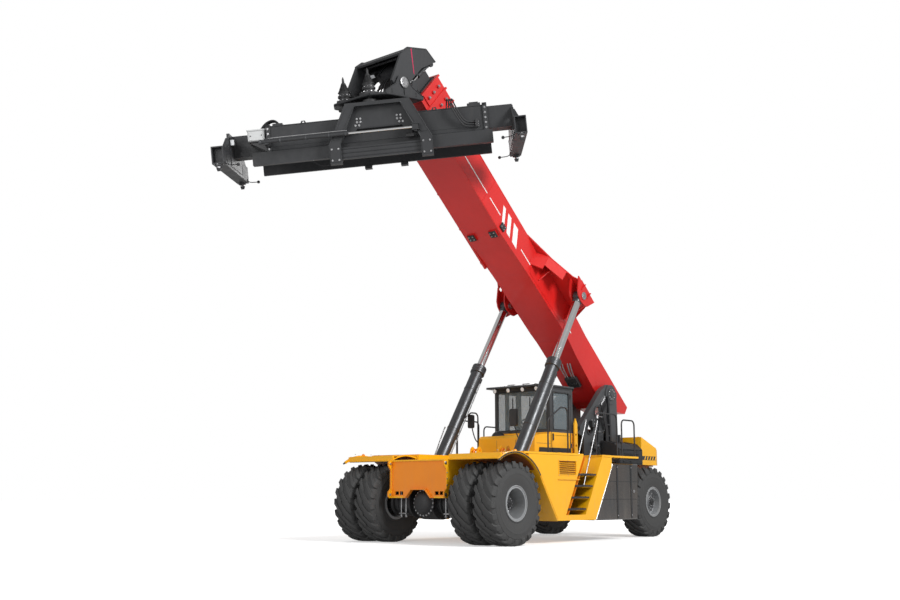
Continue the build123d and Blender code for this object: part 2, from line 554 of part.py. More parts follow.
with BuildPart() as cab_frame:
    plan_slab(CAB_PLAN, CAB_SILL + 1, CAB_TOP)
    plan_slab(CAB_PLAN_INSIDE, CAB_SILL, CAB_TOP + 5, Mode.SUBTRACT)
    block(CAB_FRONT - 60, CAB_FRONT + 10, -690, 690, *WINDOW_Z, Mode.SUBTRACT)
    block(CAB_REAR - 10, CAB_REAR + 60, -400, 400, *WINDOW_Z, Mode.SUBTRACT)
    for window_x in ((-3440, -3100), (-3860, -3520)):
        block(*window_x, -CAB_Y - 10, -CAB_Y + 60, *WINDOW_Z, Mode.SUBTRACT)
    block(DOOR_X[0] - 6, DOOR_X[1] + 6, CAB_Y - 60, CAB_Y + 10, CAB_SILL - 5, DOOR_Z[1] + 6, Mode.SUBTRACT)
    for side in (1, -1):
        corner_window(side, 200, 190, Mode.SUBTRACT)
save(cab_frame.part, "cab_frame")

with BuildPart() as cab_glass:
    block(CAB_FRONT - 26, CAB_FRONT - 20, -690, 690, *WINDOW_Z)
    block(CAB_REAR + 20, CAB_REAR + 26, -400, 400, *WINDOW_Z)
    for window_x in ((-3440, -3100), (-3860, -3520)):
        block(*window_x, -CAB_Y + 20, -CAB_Y + 26, *WINDOW_Z)
    for side in (1, -1):
        corner_window(side, 6, 190)
save(cab_glass.part, "cab_glass")

with BuildPart() as cab_roof:
    plan_slab([(-2750, -800), (-2750, 800), (-3950, 800), (-4375, 500), (-4375, -500), (-3950, -800)],
              CAB_TOP + 1, CAB_TOP + 40)
    side_slab([(-2800, CAB_TOP + 40), (-2900, CAB_TOP + 75), (-3500, CAB_TOP + 75), (-3650, CAB_TOP + 40)],
              -470, 470)
save(cab_roof.part, "cab_roof")

with BuildPart() as cab_door:
    block(*DOOR_X, CAB_Y - 42, CAB_Y - 2, *DOOR_Z)
    block(DOOR_X[0] + 70, DOOR_X[1] - 70, CAB_Y - 60, CAB_Y + 10, CAB_SILL + 60, DOOR_Z[1] - 60,
          Mode.SUBTRACT)
    block(DOOR_X[1] - 60, DOOR_X[1] - 30, CAB_Y - 3, CAB_Y + 25, 2180, 2300)
    for hinge_z in (2050, 3150):
        post(DOOR_X[0] + 2, CAB_Y + 12, 14, hinge_z - 50, hinge_z + 50)
save(cab_door.part, "cab_door")

with BuildPart() as cab_door_glass:
    block(DOOR_X[0] + 70, DOOR_X[1] - 70, CAB_Y - 25, CAB_Y - 19, CAB_SILL + 60, DOOR_Z[1] - 60)
save(cab_door_glass.part, "cab_door_glass")

SEAT_X = -3800
with BuildPart() as cab_seat:
    block(SEAT_X - 170, SEAT_X + 200, -190, 190, CAB_FLOOR + WALL, 2180)
    side_slab([(SEAT_X - 240, 2180), (SEAT_X + 270, 2180), (SEAT_X + 290, 2290),
               (SEAT_X - 240, 2270)], -250, 250)
    side_slab([(SEAT_X - 240, 2270), (SEAT_X - 120, 2270), (SEAT_X - 220, 2950),
               (SEAT_X - 320, 2950)], -240, 240)
    for side in (1, -1):
        block(SEAT_X - 200, SEAT_X + 180, side * 255, side * 330, 2180, 2420)
save(cab_seat.part, "cab_seat")

with BuildPart() as door_post:
    side_slab([(-3870, DECK_TOP + 1), (-3870, 2540), (-3925, 2670), (-3990, 2540),
               (-3990, DECK_TOP + 1)], 822, 852)
    for hole_z in (2050, 2300):
        cross_pin(-3930, hole_z, 30, 815, 860, Mode.SUBTRACT)
    side_slab([(-3990, DECK_TOP + 1), (-3990, 1950), (-4140, DECK_TOP + 20), (-4140, DECK_TOP + 1)], 822, 852)
save(door_post.part, "door_post")

with BuildPart() as cab_controls:
    side_slab([(-2990, CAB_FLOOR + WALL), (-3120, 2060), (-3320, 2520), (-3290, 2530), (-3090, 2150),
               (-2900, CAB_FLOOR + WALL)], -60, 60)
    with BuildSketch(Plane(origin=(-3320, 0, 2540), x_dir=(0, 1, 0), z_dir=(-0.45, 0, 0.9))) as wheel_sketch:
        Circle(205)
        Circle(178, mode=Mode.SUBTRACT)
        Rectangle(380, 34)
        Circle(45)
    extrude(amount=26)
save(cab_controls.part, "cab_controls")


def tube(points, radius, bend):
    """A bent tube through the points, with rounded corners."""
    with BuildLine() as path:
        FilletPolyline(*points, radius=bend)
    with BuildSketch(Plane(origin=path.line @ 0, z_dir=path.line % 0)) as ring:
        Circle(radius)
    sweep(ring.sketch, path=path.line)


# hoops seen from outside: the points (x, z) that each rail runs through
with BuildPart() as handrails:
    for side in (1, -1):
        for rail_y, rail_points in (
                (1250, ((-2250, DECK_TOP), (-2250, 2550), (-2750, 2830), (-3000, 2830), (-3000, DECK_TOP))),
                (2010, ((-3060, DECK_TOP), (-3060, 2700), (-3900, 2700), (-3900, DECK_TOP))),
                (1950, ((-4100, DECK_TOP), (-4100, 2600), (-4640, 2600), (-4640, DECK_TOP)))):
            tube([(x, side * min(rail_y, 1940), z) for x, z in rail_points], 17, 110)
save(handrails.part, "handrails")

# ------------------------------------------------------------------ boom
INNER_TAIL = 2350
INNER_BOTTOM = -100
INNER_TOP = 430
OUTER_PLAN = [(-970, -400), (1500, -420), (2300, -BOOM_Y), (COLLAR_END, -BOOM_Y), (COLLAR_END, BOOM_Y),
              (2300, BOOM_Y), (1500, 420), (-970, 400)]
# top plate of the lift wings, along and out from the centre plane
WING_PLAN = ((4720, 440), (3990, 700), (3320, 1010), (3170, 1175), (2760, 1175), (2480, 1000), (2100, 440))
with BuildPart() as boom_outer:
    side_slab([(-950, BOOM_TOP), (-970, 290), (-560, -20), (-190, -230), (60, -260), (600, -240),
               (2000, -150),
               (4100, -200), (5350, -280), (COLLAR_END, -280), (COLLAR_END, BOOM_TOP)], -BOOM_Y, BOOM_Y)
    plan_slab(OUTER_PLAN, -600, 800, Mode.INTERSECT)
    for side in (1, -1):
        cross_pin(0, 0, 190, side * 395, side * 480)
        # lifting eyes on the top plate
        for eye_x in (-400, 1200):
            side_slab([(eye_x - 70, BOOM_TOP - 10), (eye_x - 45, BOOM_TOP + 55), (eye_x, BOOM_TOP + 80),
                       (eye_x + 45, BOOM_TOP + 55), (eye_x + 70, BOOM_TOP - 10)], side * 240, side * 265)
            cross_pin(eye_x, BOOM_TOP + 38, 20, side * 230, side * 275, Mode.SUBTRACT)
        # pad pockets under the boom, where its bottom steps
        block(5280, 5460, side * 200, side * 400, -310, -240)
    side_slab([(2260, -125), (5200, -150), (5450, -250), (COLLAR_END + 10, -250),
               (COLLAR_END + 10, BOOM_TOP - 30),
               (2260, BOOM_TOP - 30)], -BOOM_Y + 30, BOOM_Y - 30, Mode.SUBTRACT)
    cross_pin(0, 0, FOOT_PIN_R + 0.08, -500, 500, Mode.SUBTRACT)
save(boom_outer.part, "boom_outer", BOOM)

# wings with lugs for the lift cylinders' rod eyes
with BuildPart() as lift_wings:
    for side in (1, -1):
        plan_slab([(x, side * y) for x, y in WING_PLAN], BOOM_TOP - 22, BOOM_TOP)
        for lug_y, boss_y in ((LIFT_Y - 125, LIFT_Y - 135), (LIFT_Y + 95, LIFT_Y + 125)):
            side_slab([(2500, BOOM_TOP - 20), (2640, 180), (2760, 105), (2900, 85), (3040, 115), (3150, 190),
                       (3330, BOOM_TOP - 20)], side * lug_y, side * (lug_y + 30))
            cross_pin(*LIFT_EYE, 105, side * boss_y, side * (boss_y + 10))
        # slanting webs in front of the cylinder's eye, and a gusset behind it
        plan_slab([(3990, side * 690), (3960, side * 690), (3480, side * 900), (3490, side * 925)],
                  200, BOOM_TOP - 20)
        plan_slab([(4160, side * (BOOM_Y - 20)), (4190, side * (BOOM_Y - 20)), (3990, side * 700),
                   (3960, side * 690)], 60, BOOM_TOP - 20)
        front_slab([(side * (BOOM_Y - 10), BOOM_TOP - 10), (side * (BOOM_Y - 10), 60),
                    (side * (BOOM_Y + 60), 60),
                    (side * 900, BOOM_TOP - 40), (side * 900, BOOM_TOP - 10)], 2444, 2468)
        cross_pin(*LIFT_EYE, 62, side * (LIFT_Y - 140), side * (LIFT_Y + 140), Mode.SUBTRACT)
    block(1900, 4900, -BOOM_Y - 0.5, BOOM_Y + 0.5, -300, BOOM_TOP + 10, Mode.SUBTRACT)
save(lift_wings.part, "lift_wings", BOOM)

# thick collar with ribs and slide pad bosses round the boom's mouth
with BuildPart() as boom_collar:
    block(COLLAR_START, COLLAR_END, -515, 515, -305, 545)
    for rib_x in (COLLAR_START, COLLAR_START + 320, COLLAR_END - 40):
        block(rib_x, rib_x + 40, -545, 545, -325, 575)
    for boss_x in (COLLAR_START + 180, COLLAR_START + 500):
        for boss_z in (-60, 150, 380):
            cross_pin(boss_x, boss_z, 38, -543, 543)
        for boss_y in (-360, 0, 360):
            post(boss_x, boss_y, 38, 400, 572)
    block(COLLAR_START - 10, COLLAR_END + 10, -BOOM_Y - 0.5, BOOM_Y + 0.5, -280.5, BOOM_TOP + 0.5,
          Mode.SUBTRACT)
save(boom_collar.part, "boom_collar", BOOM)

INNER_END = 9330
with BuildPart() as boom_inner:
    block(INNER_TAIL, INNER_END, -INNER_Y, INNER_Y, INNER_BOTTOM, INNER_TOP)
    block(INNER_TAIL - 10, INNER_END - 40, -INNER_Y + 25, INNER_Y - 25, INNER_BOTTOM + 25, INNER_TOP - 25,
          Mode.SUBTRACT)
    # slide pads at the tail
    for pad_z in (INNER_BOTTOM - 12, INNER_TOP):
        block(INNER_TAIL + 20, INNER_TAIL + 260, -300, 300, pad_z, pad_z + 12)
save(boom_inner.part, "boom_inner", BOOM)

HEAD_SIDE = [(9960, -220), (9920, 20), (9580, 500), (9240, 550), (9390, 70), (9400, -480), (9430, -820),
             (9600, -880), (9730, -900)]
HEAD_PIN_R = 75
with BuildPart() as boom_head:
    for side in (1, -1):
        side_slab(HEAD_SIDE, side * HEAD_Y, side * (HEAD_Y + 50))
        cross_pin(*HEAD_PIN, 190, side * (HEAD_Y - 30), side * (HEAD_Y + 50))
        block(9470, 9600, side * INNER_Y, side * HEAD_Y, -60, 400)
        cross_pin(*DAMPER_TOP, 70, side * (HEAD_Y - 30), side * HEAD_Y)
    side_slab([(9340, INNER_BOTTOM), (9600, INNER_BOTTOM), (9600, INNER_TOP),
               (9340, INNER_TOP)], -INNER_Y, INNER_Y)
    # rolled nose between the side plates
    with BuildSketch(Plane.XZ):
        with BuildLine():
            FilletPolyline((9470, 520), (9600, 470), (9890, 40), (9935, -210), radius=60)
        trace(line_width=40)
    extrude(amount=HEAD_Y, both=True)
    for side in (1, -1):
        cross_pin(*HEAD_PIN, HEAD_PIN_R + 0.08, side * (HEAD_Y - 60), side * (HEAD_Y + 80), Mode.SUBTRACT)
        cross_pin(*DAMPER_TOP, 30.08, side * (HEAD_Y - 60), side * (HEAD_Y - 2), Mode.SUBTRACT)
save(boom_head.part, "boom_head", BOOM)

# ----------------------------------------------------------------- lift cylinders, drawn along their own axis
BARREL_R = 140
BARREL_LENGTH = 3130
ROD_R = 90
with BuildPart() as lift_barrels:
    for side in (1, -1):
        cross_pin(0, 0, 160, side * (LIFT_Y - 95), side * (LIFT_Y + 95))
        bar(BARREL_R, 100, BARREL_LENGTH, side * LIFT_Y)
        bar(BARREL_R + 22, BARREL_LENGTH - 190, BARREL_LENGTH, side * LIFT_Y)
        bar(ROD_R + 1, 240, BARREL_LENGTH + 5, side * LIFT_Y, 0, Mode.SUBTRACT)
        cross_pin(0, 0, 60, side * (LIFT_Y - 190), side * (LIFT_Y + 190))
        bar(16, 300, BARREL_LENGTH - 150, side * LIFT_Y, BARREL_R + 30)
        for clip_x in (320, 1500, 2650):
            block(clip_x, clip_x + 40, side * LIFT_Y - 25, side * LIFT_Y + 25, BARREL_R - 20, BARREL_R + 30)
save(lift_barrels.part, "lift_barrels", LIFT)

with BuildPart() as lift_rods:
    for side in (1, -1):
        bar(ROD_R, 2000, LIFT_LENGTH - 90, side * LIFT_Y)
        cross_pin(LIFT_LENGTH, 0, 125, side * (LIFT_Y - 78), side * (LIFT_Y + 78))
        cross_pin(LIFT_LENGTH, 0, 55, side * (LIFT_Y - 88), side * (LIFT_Y + 88))
save(lift_rods.part, "lift_rods", LIFT)

# ------------------------------------------------------------------ damper cylinders of the yoke
DAMPER_BARREL = 480
with BuildPart() as damper_barrels:
    for side in (1, -1):
        cross_pin(0, 0, 52, side * (DAMPER_Y - 30), side * (DAMPER_Y + 30))
        bar(45, 40, DAMPER_BARREL, side * DAMPER_Y)
        bar(25.5, 80, DAMPER_BARREL + 5, side * DAMPER_Y, 0, Mode.SUBTRACT)
        cross_pin(0, 0, 30, side * (DAMPER_Y - 40), side * (HEAD_Y - 4))
save(damper_barrels.part, "damper_barrels", DAMPER)

with BuildPart() as damper_rods:
    for side in (1, -1):
        bar(25, DAMPER_LENGTH - 590, DAMPER_LENGTH - 30, side * DAMPER_Y)
        cross_pin(DAMPER_LENGTH, 0, 45, side * (DAMPER_Y - 25), side * (DAMPER_Y + 25))
save(damper_rods.part, "damper_rods", DAMPER)

# ----------------------------------------------------------------- yoke and slewing gear, drawn hanging level
YOKE_Y = HEAD_Y + 58                    # inner face of the yoke's cheeks
RING_TOP = -260
with BuildPart() as yoke:
    for side in (1, -1):
        side_slab([(-120, 130), (110, 130), (230, -40), (560, RING_TOP + 30), (560, RING_TOP - 10),
                   (-580, RING_TOP - 10), (-580, RING_TOP + 40),
                   (-250, -60)], side * YOKE_Y, side * (YOKE_Y + 40))
        cross_pin(0, 0, HEAD_PIN_R, side * (HEAD_Y - 20), side * (YOKE_Y + 60))
        # lugs for the damper rods
        side_slab([(-535, RING_TOP - 10), (-330, RING_TOP - 10), (-400, 20), (-420, 120), (-480, 140),
                   (-515, 100), (-535, -60)],
                  side * (DAMPER_Y + 40), side * (DAMPER_Y + 65))
    plan_slab([(-540, -YOKE_Y - 40), (560, -YOKE_Y - 40), (790, -480), (790, 480), (560, YOKE_Y + 40),
               (-540, YOKE_Y + 40)], RING_TOP - 40, RING_TOP)
save(yoke.part, "yoke", YOKE)

PINION_REACH = 702                      # slewing motors stand this far from the slewing axis
MOTORS = [(PINION_REACH * cos(radians(a)), PINION_REACH * sin(radians(a))) for a in (-34.6, 27.4)]
GEAR_TEETH = 90
GEAR_TIP_R = 552
GEAR_ROOT_R = 524
PINION_R = 142
with BuildPart() as slew_drive:
    post(0, 0, 500, RING_TOP - 85, RING_TOP - 41)
    for motor_x, motor_y in MOTORS:
        post(motor_x, motor_y, 165, RING_TOP + 1, RING_TOP + 60)
        # pinion and its shaft below the base plate
        post(motor_x, motor_y, 60, RING_TOP - 90, RING_TOP - 41)
        post(motor_x, motor_y, PINION_R, RING_TOP - 138, RING_TOP - 90)
        post(motor_x, motor_y, 105, RING_TOP + 60, RING_TOP + 230)
        post(motor_x, motor_y, 130, RING_TOP + 130, RING_TOP + 165)
        with Locations((motor_x, motor_y, RING_TOP + 330)):
            Cone(95, 25, 200)
        post(motor_x, motor_y, 16, RING_TOP + 430, RING_TOP + 530)
save(slew_drive.part, "slew_drive", YOKE)

# ------------------------------------------------------------------ load frame: x across it, y along it
RING_BOTTOM = RING_TOP - 86
BEAM_X = 620                            # half width of the load frame's main beam
BEAM_Z = (-1150, -640)
RAIL_X = (520, 660)                     # slide rails under the main beam, from the middle
RAIL_BOTTOM = -1400
LEG_X = (700, 860)
LOCK_X = 1129.5                         # half the spacing of the corner castings, across
LOCK_Y = 2926.5                         # and along a 20 ft container
LOCK_BOTTOM = -1530
SHIFT_ROD_X = 935                       # axis of the side-shift cylinder
SHIFT_ROD_Z = -1010
CARRIER_PLATE = [(-450, -300), (-300, -480), (300, -640), (860, -640), (860, 640), (300, 640), (-300, 480),
                 (-450, 300)]
# a rear leg follows the sloping back of the beam and hooks under its rail (x, z)
REAR_LEG = [(-260, -460), (-232, -618), (-365, -888), (-516, -958), (-602, -1135), (-606, -1142),
            (-606, -1407),
            (-500, -1407), (-500, -1465), (-690, -1465), (-690, -1130), (-620, -930), (-480, -820),
            (-420, -460)]
with BuildPart() as spreader_carrier:
    # toothed slewing ring
    post(0, 0, GEAR_ROOT_R, RING_BOTTOM - 60, RING_BOTTOM - 1)
    with BuildSketch(Plane.XY.offset(RING_BOTTOM - 52)) as gear_teeth:
        with PolarLocations(0, GEAR_TEETH):
            Polygon((GEAR_ROOT_R - 6, -13), (GEAR_TIP_R, -6), (GEAR_TIP_R, 6),
                    (GEAR_ROOT_R - 6, 13), align=None)
    extrude(gear_teeth.sketch, amount=46)
    plan_slab(CARRIER_PLATE, RING_BOTTOM - 130, RING_BOTTOM - 60)
    for side in (1, -1):
        front_slab([(side * 440, RING_BOTTOM - 100), (side * 640, RING_BOTTOM - 100), (side * 1010, -1210),
                    (side * 1010, -1570), (side * 780, -1570), (side * 780, -1180)], *LEG_X)
        # claw round the front slide rail
        block(480, LEG_X[1], side * 790, side * 1000, -1465, RAIL_BOTTOM - 6)
        side_slab(REAR_LEG, side * 300, side * 450)
    block(LEG_X[0], 790, -1010, 1010, -1480, -1250)
    front_slab([(-480, RING_BOTTOM - 100), (-760, -960), (-500, -960), (-420, -880), (420, -880),
                (500, -960), (760, -960), (480, RING_BOTTOM - 100)], LEG_X[0], LEG_X[0] + 25)
    # rod of the side-shift cylinder and its bracket on a leg
    block(LEG_X[0] + 25, SHIFT_ROD_X + 40, 640, 760, SHIFT_ROD_Z - 60, SHIFT_ROD_Z + 60)
    with Locations(Location((SHIFT_ROD_X, -310, SHIFT_ROD_Z), (90, 0, 0))):
        Cylinder(22, 1960)
save(spreader_carrier.part, "spreader_carrier", CARRIER)

BEAM_Y = (-2050, 2330)
BARREL_Y = (-2150, -400)                # barrel of the side-shift cylinder
FRONT_TUBE = (215, 585)                 # the two arm tubes side by side (x)
REAR_TUBE = (-165, 175)
with BuildPart() as spreader_beam:
    side_slab([(-345, BEAM_Z[0]), (-345, -900), (-205, BEAM_Z[1]), (BEAM_X, BEAM_Z[1]),
               (BEAM_X, BEAM_Z[0])], *BEAM_Y)
    block(*RAIL_X, -2350, 2400, RAIL_BOTTOM, BEAM_Z[0] + 1)
    for tube in (FRONT_TUBE, REAR_TUBE):
        block(tube[0] - 15, tube[1] + 15, BEAM_Y[0] - 10, BEAM_Y[1] + 10, BEAM_Z[0] + 20, BEAM_Z[1] - 20,
              Mode.SUBTRACT)
    block(BEAM_X - 20, SHIFT_ROD_X + 20, BEAM_Y[0], BEAM_Y[0] + 90, SHIFT_ROD_Z - 60, SHIFT_ROD_Z + 60)
    with Locations(Location((SHIFT_ROD_X, sum(BARREL_Y) / 2, SHIFT_ROD_Z), (90, 0, 0))):
        Cylinder(38, BARREL_Y[1] - BARREL_Y[0])
    with Locations(Location((SHIFT_ROD_X, sum(BARREL_Y) / 2 + 15, SHIFT_ROD_Z), (90, 0, 0))):
        Cylinder(23, BARREL_Y[1] - BARREL_Y[0] - 20, mode=Mode.SUBTRACT)
    with Locations(Location((SHIFT_ROD_X, BARREL_Y[1] - 35, SHIFT_ROD_Z), (90, 0, 0))):
        Cylinder(46, 70)
        Cylinder(23, 80, mode=Mode.SUBTRACT)
    # lifting eyes on top of the beam
    for eye_y in (-1300, 1300):
        front_slab([(eye_y - 60, BEAM_Z[1] - 5), (eye_y - 35, BEAM_Z[1] + 50), (eye_y + 35, BEAM_Z[1] + 50),
                    (eye_y + 60, BEAM_Z[1] - 5)], 560, 585)
        bar(20, 550, 595, eye_y, BEAM_Z[1] + 18, Mode.SUBTRACT)
save(spreader_beam.part, "spreader_beam", LOAD_FRAME)

# ledge and slide rail along the beam's back
with BuildPart() as rear_slide_rail:
    side_slab([(-345.5, BEAM_Z[0]), (-345.5, -900), (-500, -970), (-BEAM_X + 55, BEAM_Z[0])], *BEAM_Y)
    side_slab([(-520, BEAM_Z[0] + 1), (-560, BEAM_Z[0] + 1), (-596, -1195), (-596, RAIL_BOTTOM),
               (-520, RAIL_BOTTOM)], -2350, 2400)
save(rear_slide_rail.part, "rear_slide_rail", LOAD_FRAME)


def make_arm(end, tube_x, tube_y, label):
    """A telescopic arm: its tube, the cross beam at its end and two twistlocks."""
    with BuildPart() as arm:
        block(*tube_x, end * tube_y, end * 2830, -1115, -675)
        block(tube_x[0] + 18, tube_x[1] - 18, end * (tube_y - 10), end * 2790, -1097, -693, Mode.SUBTRACT)
        # end frame, cross beam open at its ends, and gussets
        block(-520, 520, end * 2790, end * 2850, RAIL_BOTTOM + 60, -680)
        block(-1220, 1220, end * 2800, end * 3035, RAIL_BOTTOM, -1060)
        block(-1230, 1230, end * 2822, end * 3013, RAIL_BOTTOM + 22, -1082, Mode.SUBTRACT)
        for rib_x in (-1080, -460, 0, 460, 1080):
            block(rib_x - 10, rib_x + 10, end * 2815, end * 3020, RAIL_BOTTOM + 10, -1070)
        for gusset_x in (-500, -20, 460):
            front_slab([(end * 2840, -1070), (end * 3000, -1070), (end * 3000, -1010), (end * 2880, -760),
                        (end * 2840, -760)], gusset_x, gusset_x + 40)
        # sloping shoulder plates from the end frame down to the cross beam's ends
        for shoulder in (1, -1):
            side_slab([(shoulder * 510, -720), (shoulder * 560, -720), (shoulder * 1020, -1045),
                       (shoulder * 1020, -1070), (shoulder * 510, -1070)], end * 2800, end * 2822)
            cross_pin(shoulder * 660, -960, 45, end * 2790, end * 2830, Mode.SUBTRACT)
        for side in (1, -1):
            post(side * LOCK_X, end * LOCK_Y, 75, RAIL_BOTTOM - 30, RAIL_BOTTOM + 30)
            post(side * LOCK_X, end * LOCK_Y, 32, LOCK_BOTTOM + 60, RAIL_BOTTOM - 20)
            # twistlock head: an oblong that tapers to a blunt point
            with BuildSketch(Plane.XY.offset(LOCK_BOTTOM + 62)) as lock_head:
                with Locations((side * LOCK_X, end * LOCK_Y)):
                    RectangleRounded(62, 102, 22)
            extrude(lock_head.sketch, amount=-62, taper=17)
            # flag that feels the container's corner
            block(side * (LOCK_X - 150), side * (LOCK_X - 125), end * (LOCK_Y - 30), end * (LOCK_Y + 30),
                  RAIL_BOTTOM - 70, RAIL_BOTTOM + 5)
    save(arm.part, label, LOAD_FRAME)


make_arm(-1, REAR_TUBE, -2000, "right_arm")
make_arm(1, FRONT_TUBE, -1750, "left_arm")
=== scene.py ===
"""Looks of a reach stacker: finishes for its CAD nodes and the trim that rides on its bodies."""
import json
import logging
from dataclasses import dataclass
from enum import Enum
from math import copysign, cos, exp, pi, radians, sin, sqrt, tau
from typing import Callable, Iterable, Iterator, Optional, Sequence

import bmesh
import bpy
from mathutils import Matrix, Vector

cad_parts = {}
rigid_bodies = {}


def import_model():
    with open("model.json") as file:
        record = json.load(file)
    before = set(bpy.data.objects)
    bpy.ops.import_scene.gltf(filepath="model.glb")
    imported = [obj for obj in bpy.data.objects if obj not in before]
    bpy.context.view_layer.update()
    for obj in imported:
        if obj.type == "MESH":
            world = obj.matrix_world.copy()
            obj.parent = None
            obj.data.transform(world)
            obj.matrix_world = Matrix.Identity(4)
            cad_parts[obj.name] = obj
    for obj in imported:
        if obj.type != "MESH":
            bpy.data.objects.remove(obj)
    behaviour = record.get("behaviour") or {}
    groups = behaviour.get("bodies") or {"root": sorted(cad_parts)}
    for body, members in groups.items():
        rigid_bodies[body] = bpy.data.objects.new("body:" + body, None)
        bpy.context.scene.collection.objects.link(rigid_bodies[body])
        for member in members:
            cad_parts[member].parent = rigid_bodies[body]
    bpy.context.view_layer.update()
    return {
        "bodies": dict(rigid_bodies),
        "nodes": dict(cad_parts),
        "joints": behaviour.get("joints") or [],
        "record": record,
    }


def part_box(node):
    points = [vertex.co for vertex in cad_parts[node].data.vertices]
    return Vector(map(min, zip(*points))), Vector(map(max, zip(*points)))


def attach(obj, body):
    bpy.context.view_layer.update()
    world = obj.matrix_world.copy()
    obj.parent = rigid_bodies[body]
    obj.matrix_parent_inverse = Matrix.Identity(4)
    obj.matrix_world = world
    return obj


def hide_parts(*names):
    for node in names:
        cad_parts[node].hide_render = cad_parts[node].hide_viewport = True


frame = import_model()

LOG = logging.getLogger("reach_stacker")
Point = Sequence[float]
Colour = tuple[float, float, float]
Material, Mesh, Socket = bpy.types.Material, bpy.types.Mesh, bpy.types.NodeSocket


# ---------------------------------------- frames
def joint(name: str) -> dict:
    """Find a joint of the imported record.

    Args:
        name: the joint's name.

    Returns:
        The joint's entry.
    """
    return next(entry for entry in frame["joints"] if entry["name"] == name)


@dataclass(frozen=True)
class Frame:
    """A sub-assembly's own frame and the body that its pieces ride on."""

    body: str = ""
    place: Matrix = Matrix.Identity(4)

    @classmethod
    def of(cls, body: str, origin: Point, x_axis: Point, z_axis: Optional[Point] = None) -> "Frame":
        """Make a frame from an origin and two directions.

        Args:
            body: the CAD body that its pieces ride on.
            origin: the frame's origin in the row frame.
            x_axis: direction of its x axis.
            z_axis: direction of its z axis; up from x in the side view if None.

        Returns:
            The frame.
        """
        x_dir = Vector(x_axis).normalized()
        z_dir = Vector(z_axis or (-x_dir.z, 0, x_dir.x)).normalized()
        matrix = Matrix((x_dir, z_dir.cross(x_dir).normalized(), z_dir)).transposed().to_4x4()
        matrix.translation = Vector(origin)
        return cls(body, matrix)


WHEEL = joint("front_left_wheel")["pos_m"]
HEAD = joint("yoke_tilt")["pos_m"]
SLEW_UP = Vector(joint("slewing")["axis"])
MACHINE = Frame("chassis", Matrix.Translation((WHEEL[0], WHEEL[1] - 1.55, 0)))
BOOM = Frame.of("boom", joint("boom_lift")["pos_m"], joint("boom_extension")["axis"])
LIFT = Frame.of("lift_barrels", joint("lift_cylinder_swing")["pos_m"], joint("lift_cylinder_stroke")["axis"])
DAMPER = Frame.of("damper_barrels", joint("damper_swing")["pos_m"], joint("damper_stroke")["axis"])
YOKE = Frame.of("yoke", HEAD, (SLEW_UP.z, 0, -SLEW_UP.x), SLEW_UP)
CARRIER = Frame.of("carrier", HEAD, Vector(joint("side_shift")["axis"]).cross(SLEW_UP), SLEW_UP)
LOAD = Frame("load_frame", CARRIER.place @ Matrix.Translation((0, -0.2, 0)))


# ---------------------------------------- finishes
def fill(tree: bpy.types.NodeTree, node: bpy.types.Node, inputs: dict) -> None:
    """Set or link a node's inputs.

    Args:
        tree: the node's tree.
        node: the node.
        inputs: values by socket name or number; a socket is linked, a colour gets its alpha.
    """
    for key, value in inputs.items():
        socket = node.inputs[key]
        if isinstance(value, Socket):
            tree.links.new(value, socket)
        elif socket.type == "RGBA":
            socket.default_value = (*value, 1.0)
        else:
            socket.default_value = value


def add_node(tree: bpy.types.NodeTree, kind: str, inputs: Optional[dict] = None,
        **settings: object) -> bpy.types.Node:
    """Add a node.

    Args:
        tree: the tree that it goes into.
        kind: its type.
        inputs: what its inputs hold.
        **settings: its other properties.

    Returns:
        The node.
    """
    node = tree.nodes.new(kind)
    for key, value in settings.items():
        setattr(node, key, value)
    fill(tree, node, inputs or {})
    return node


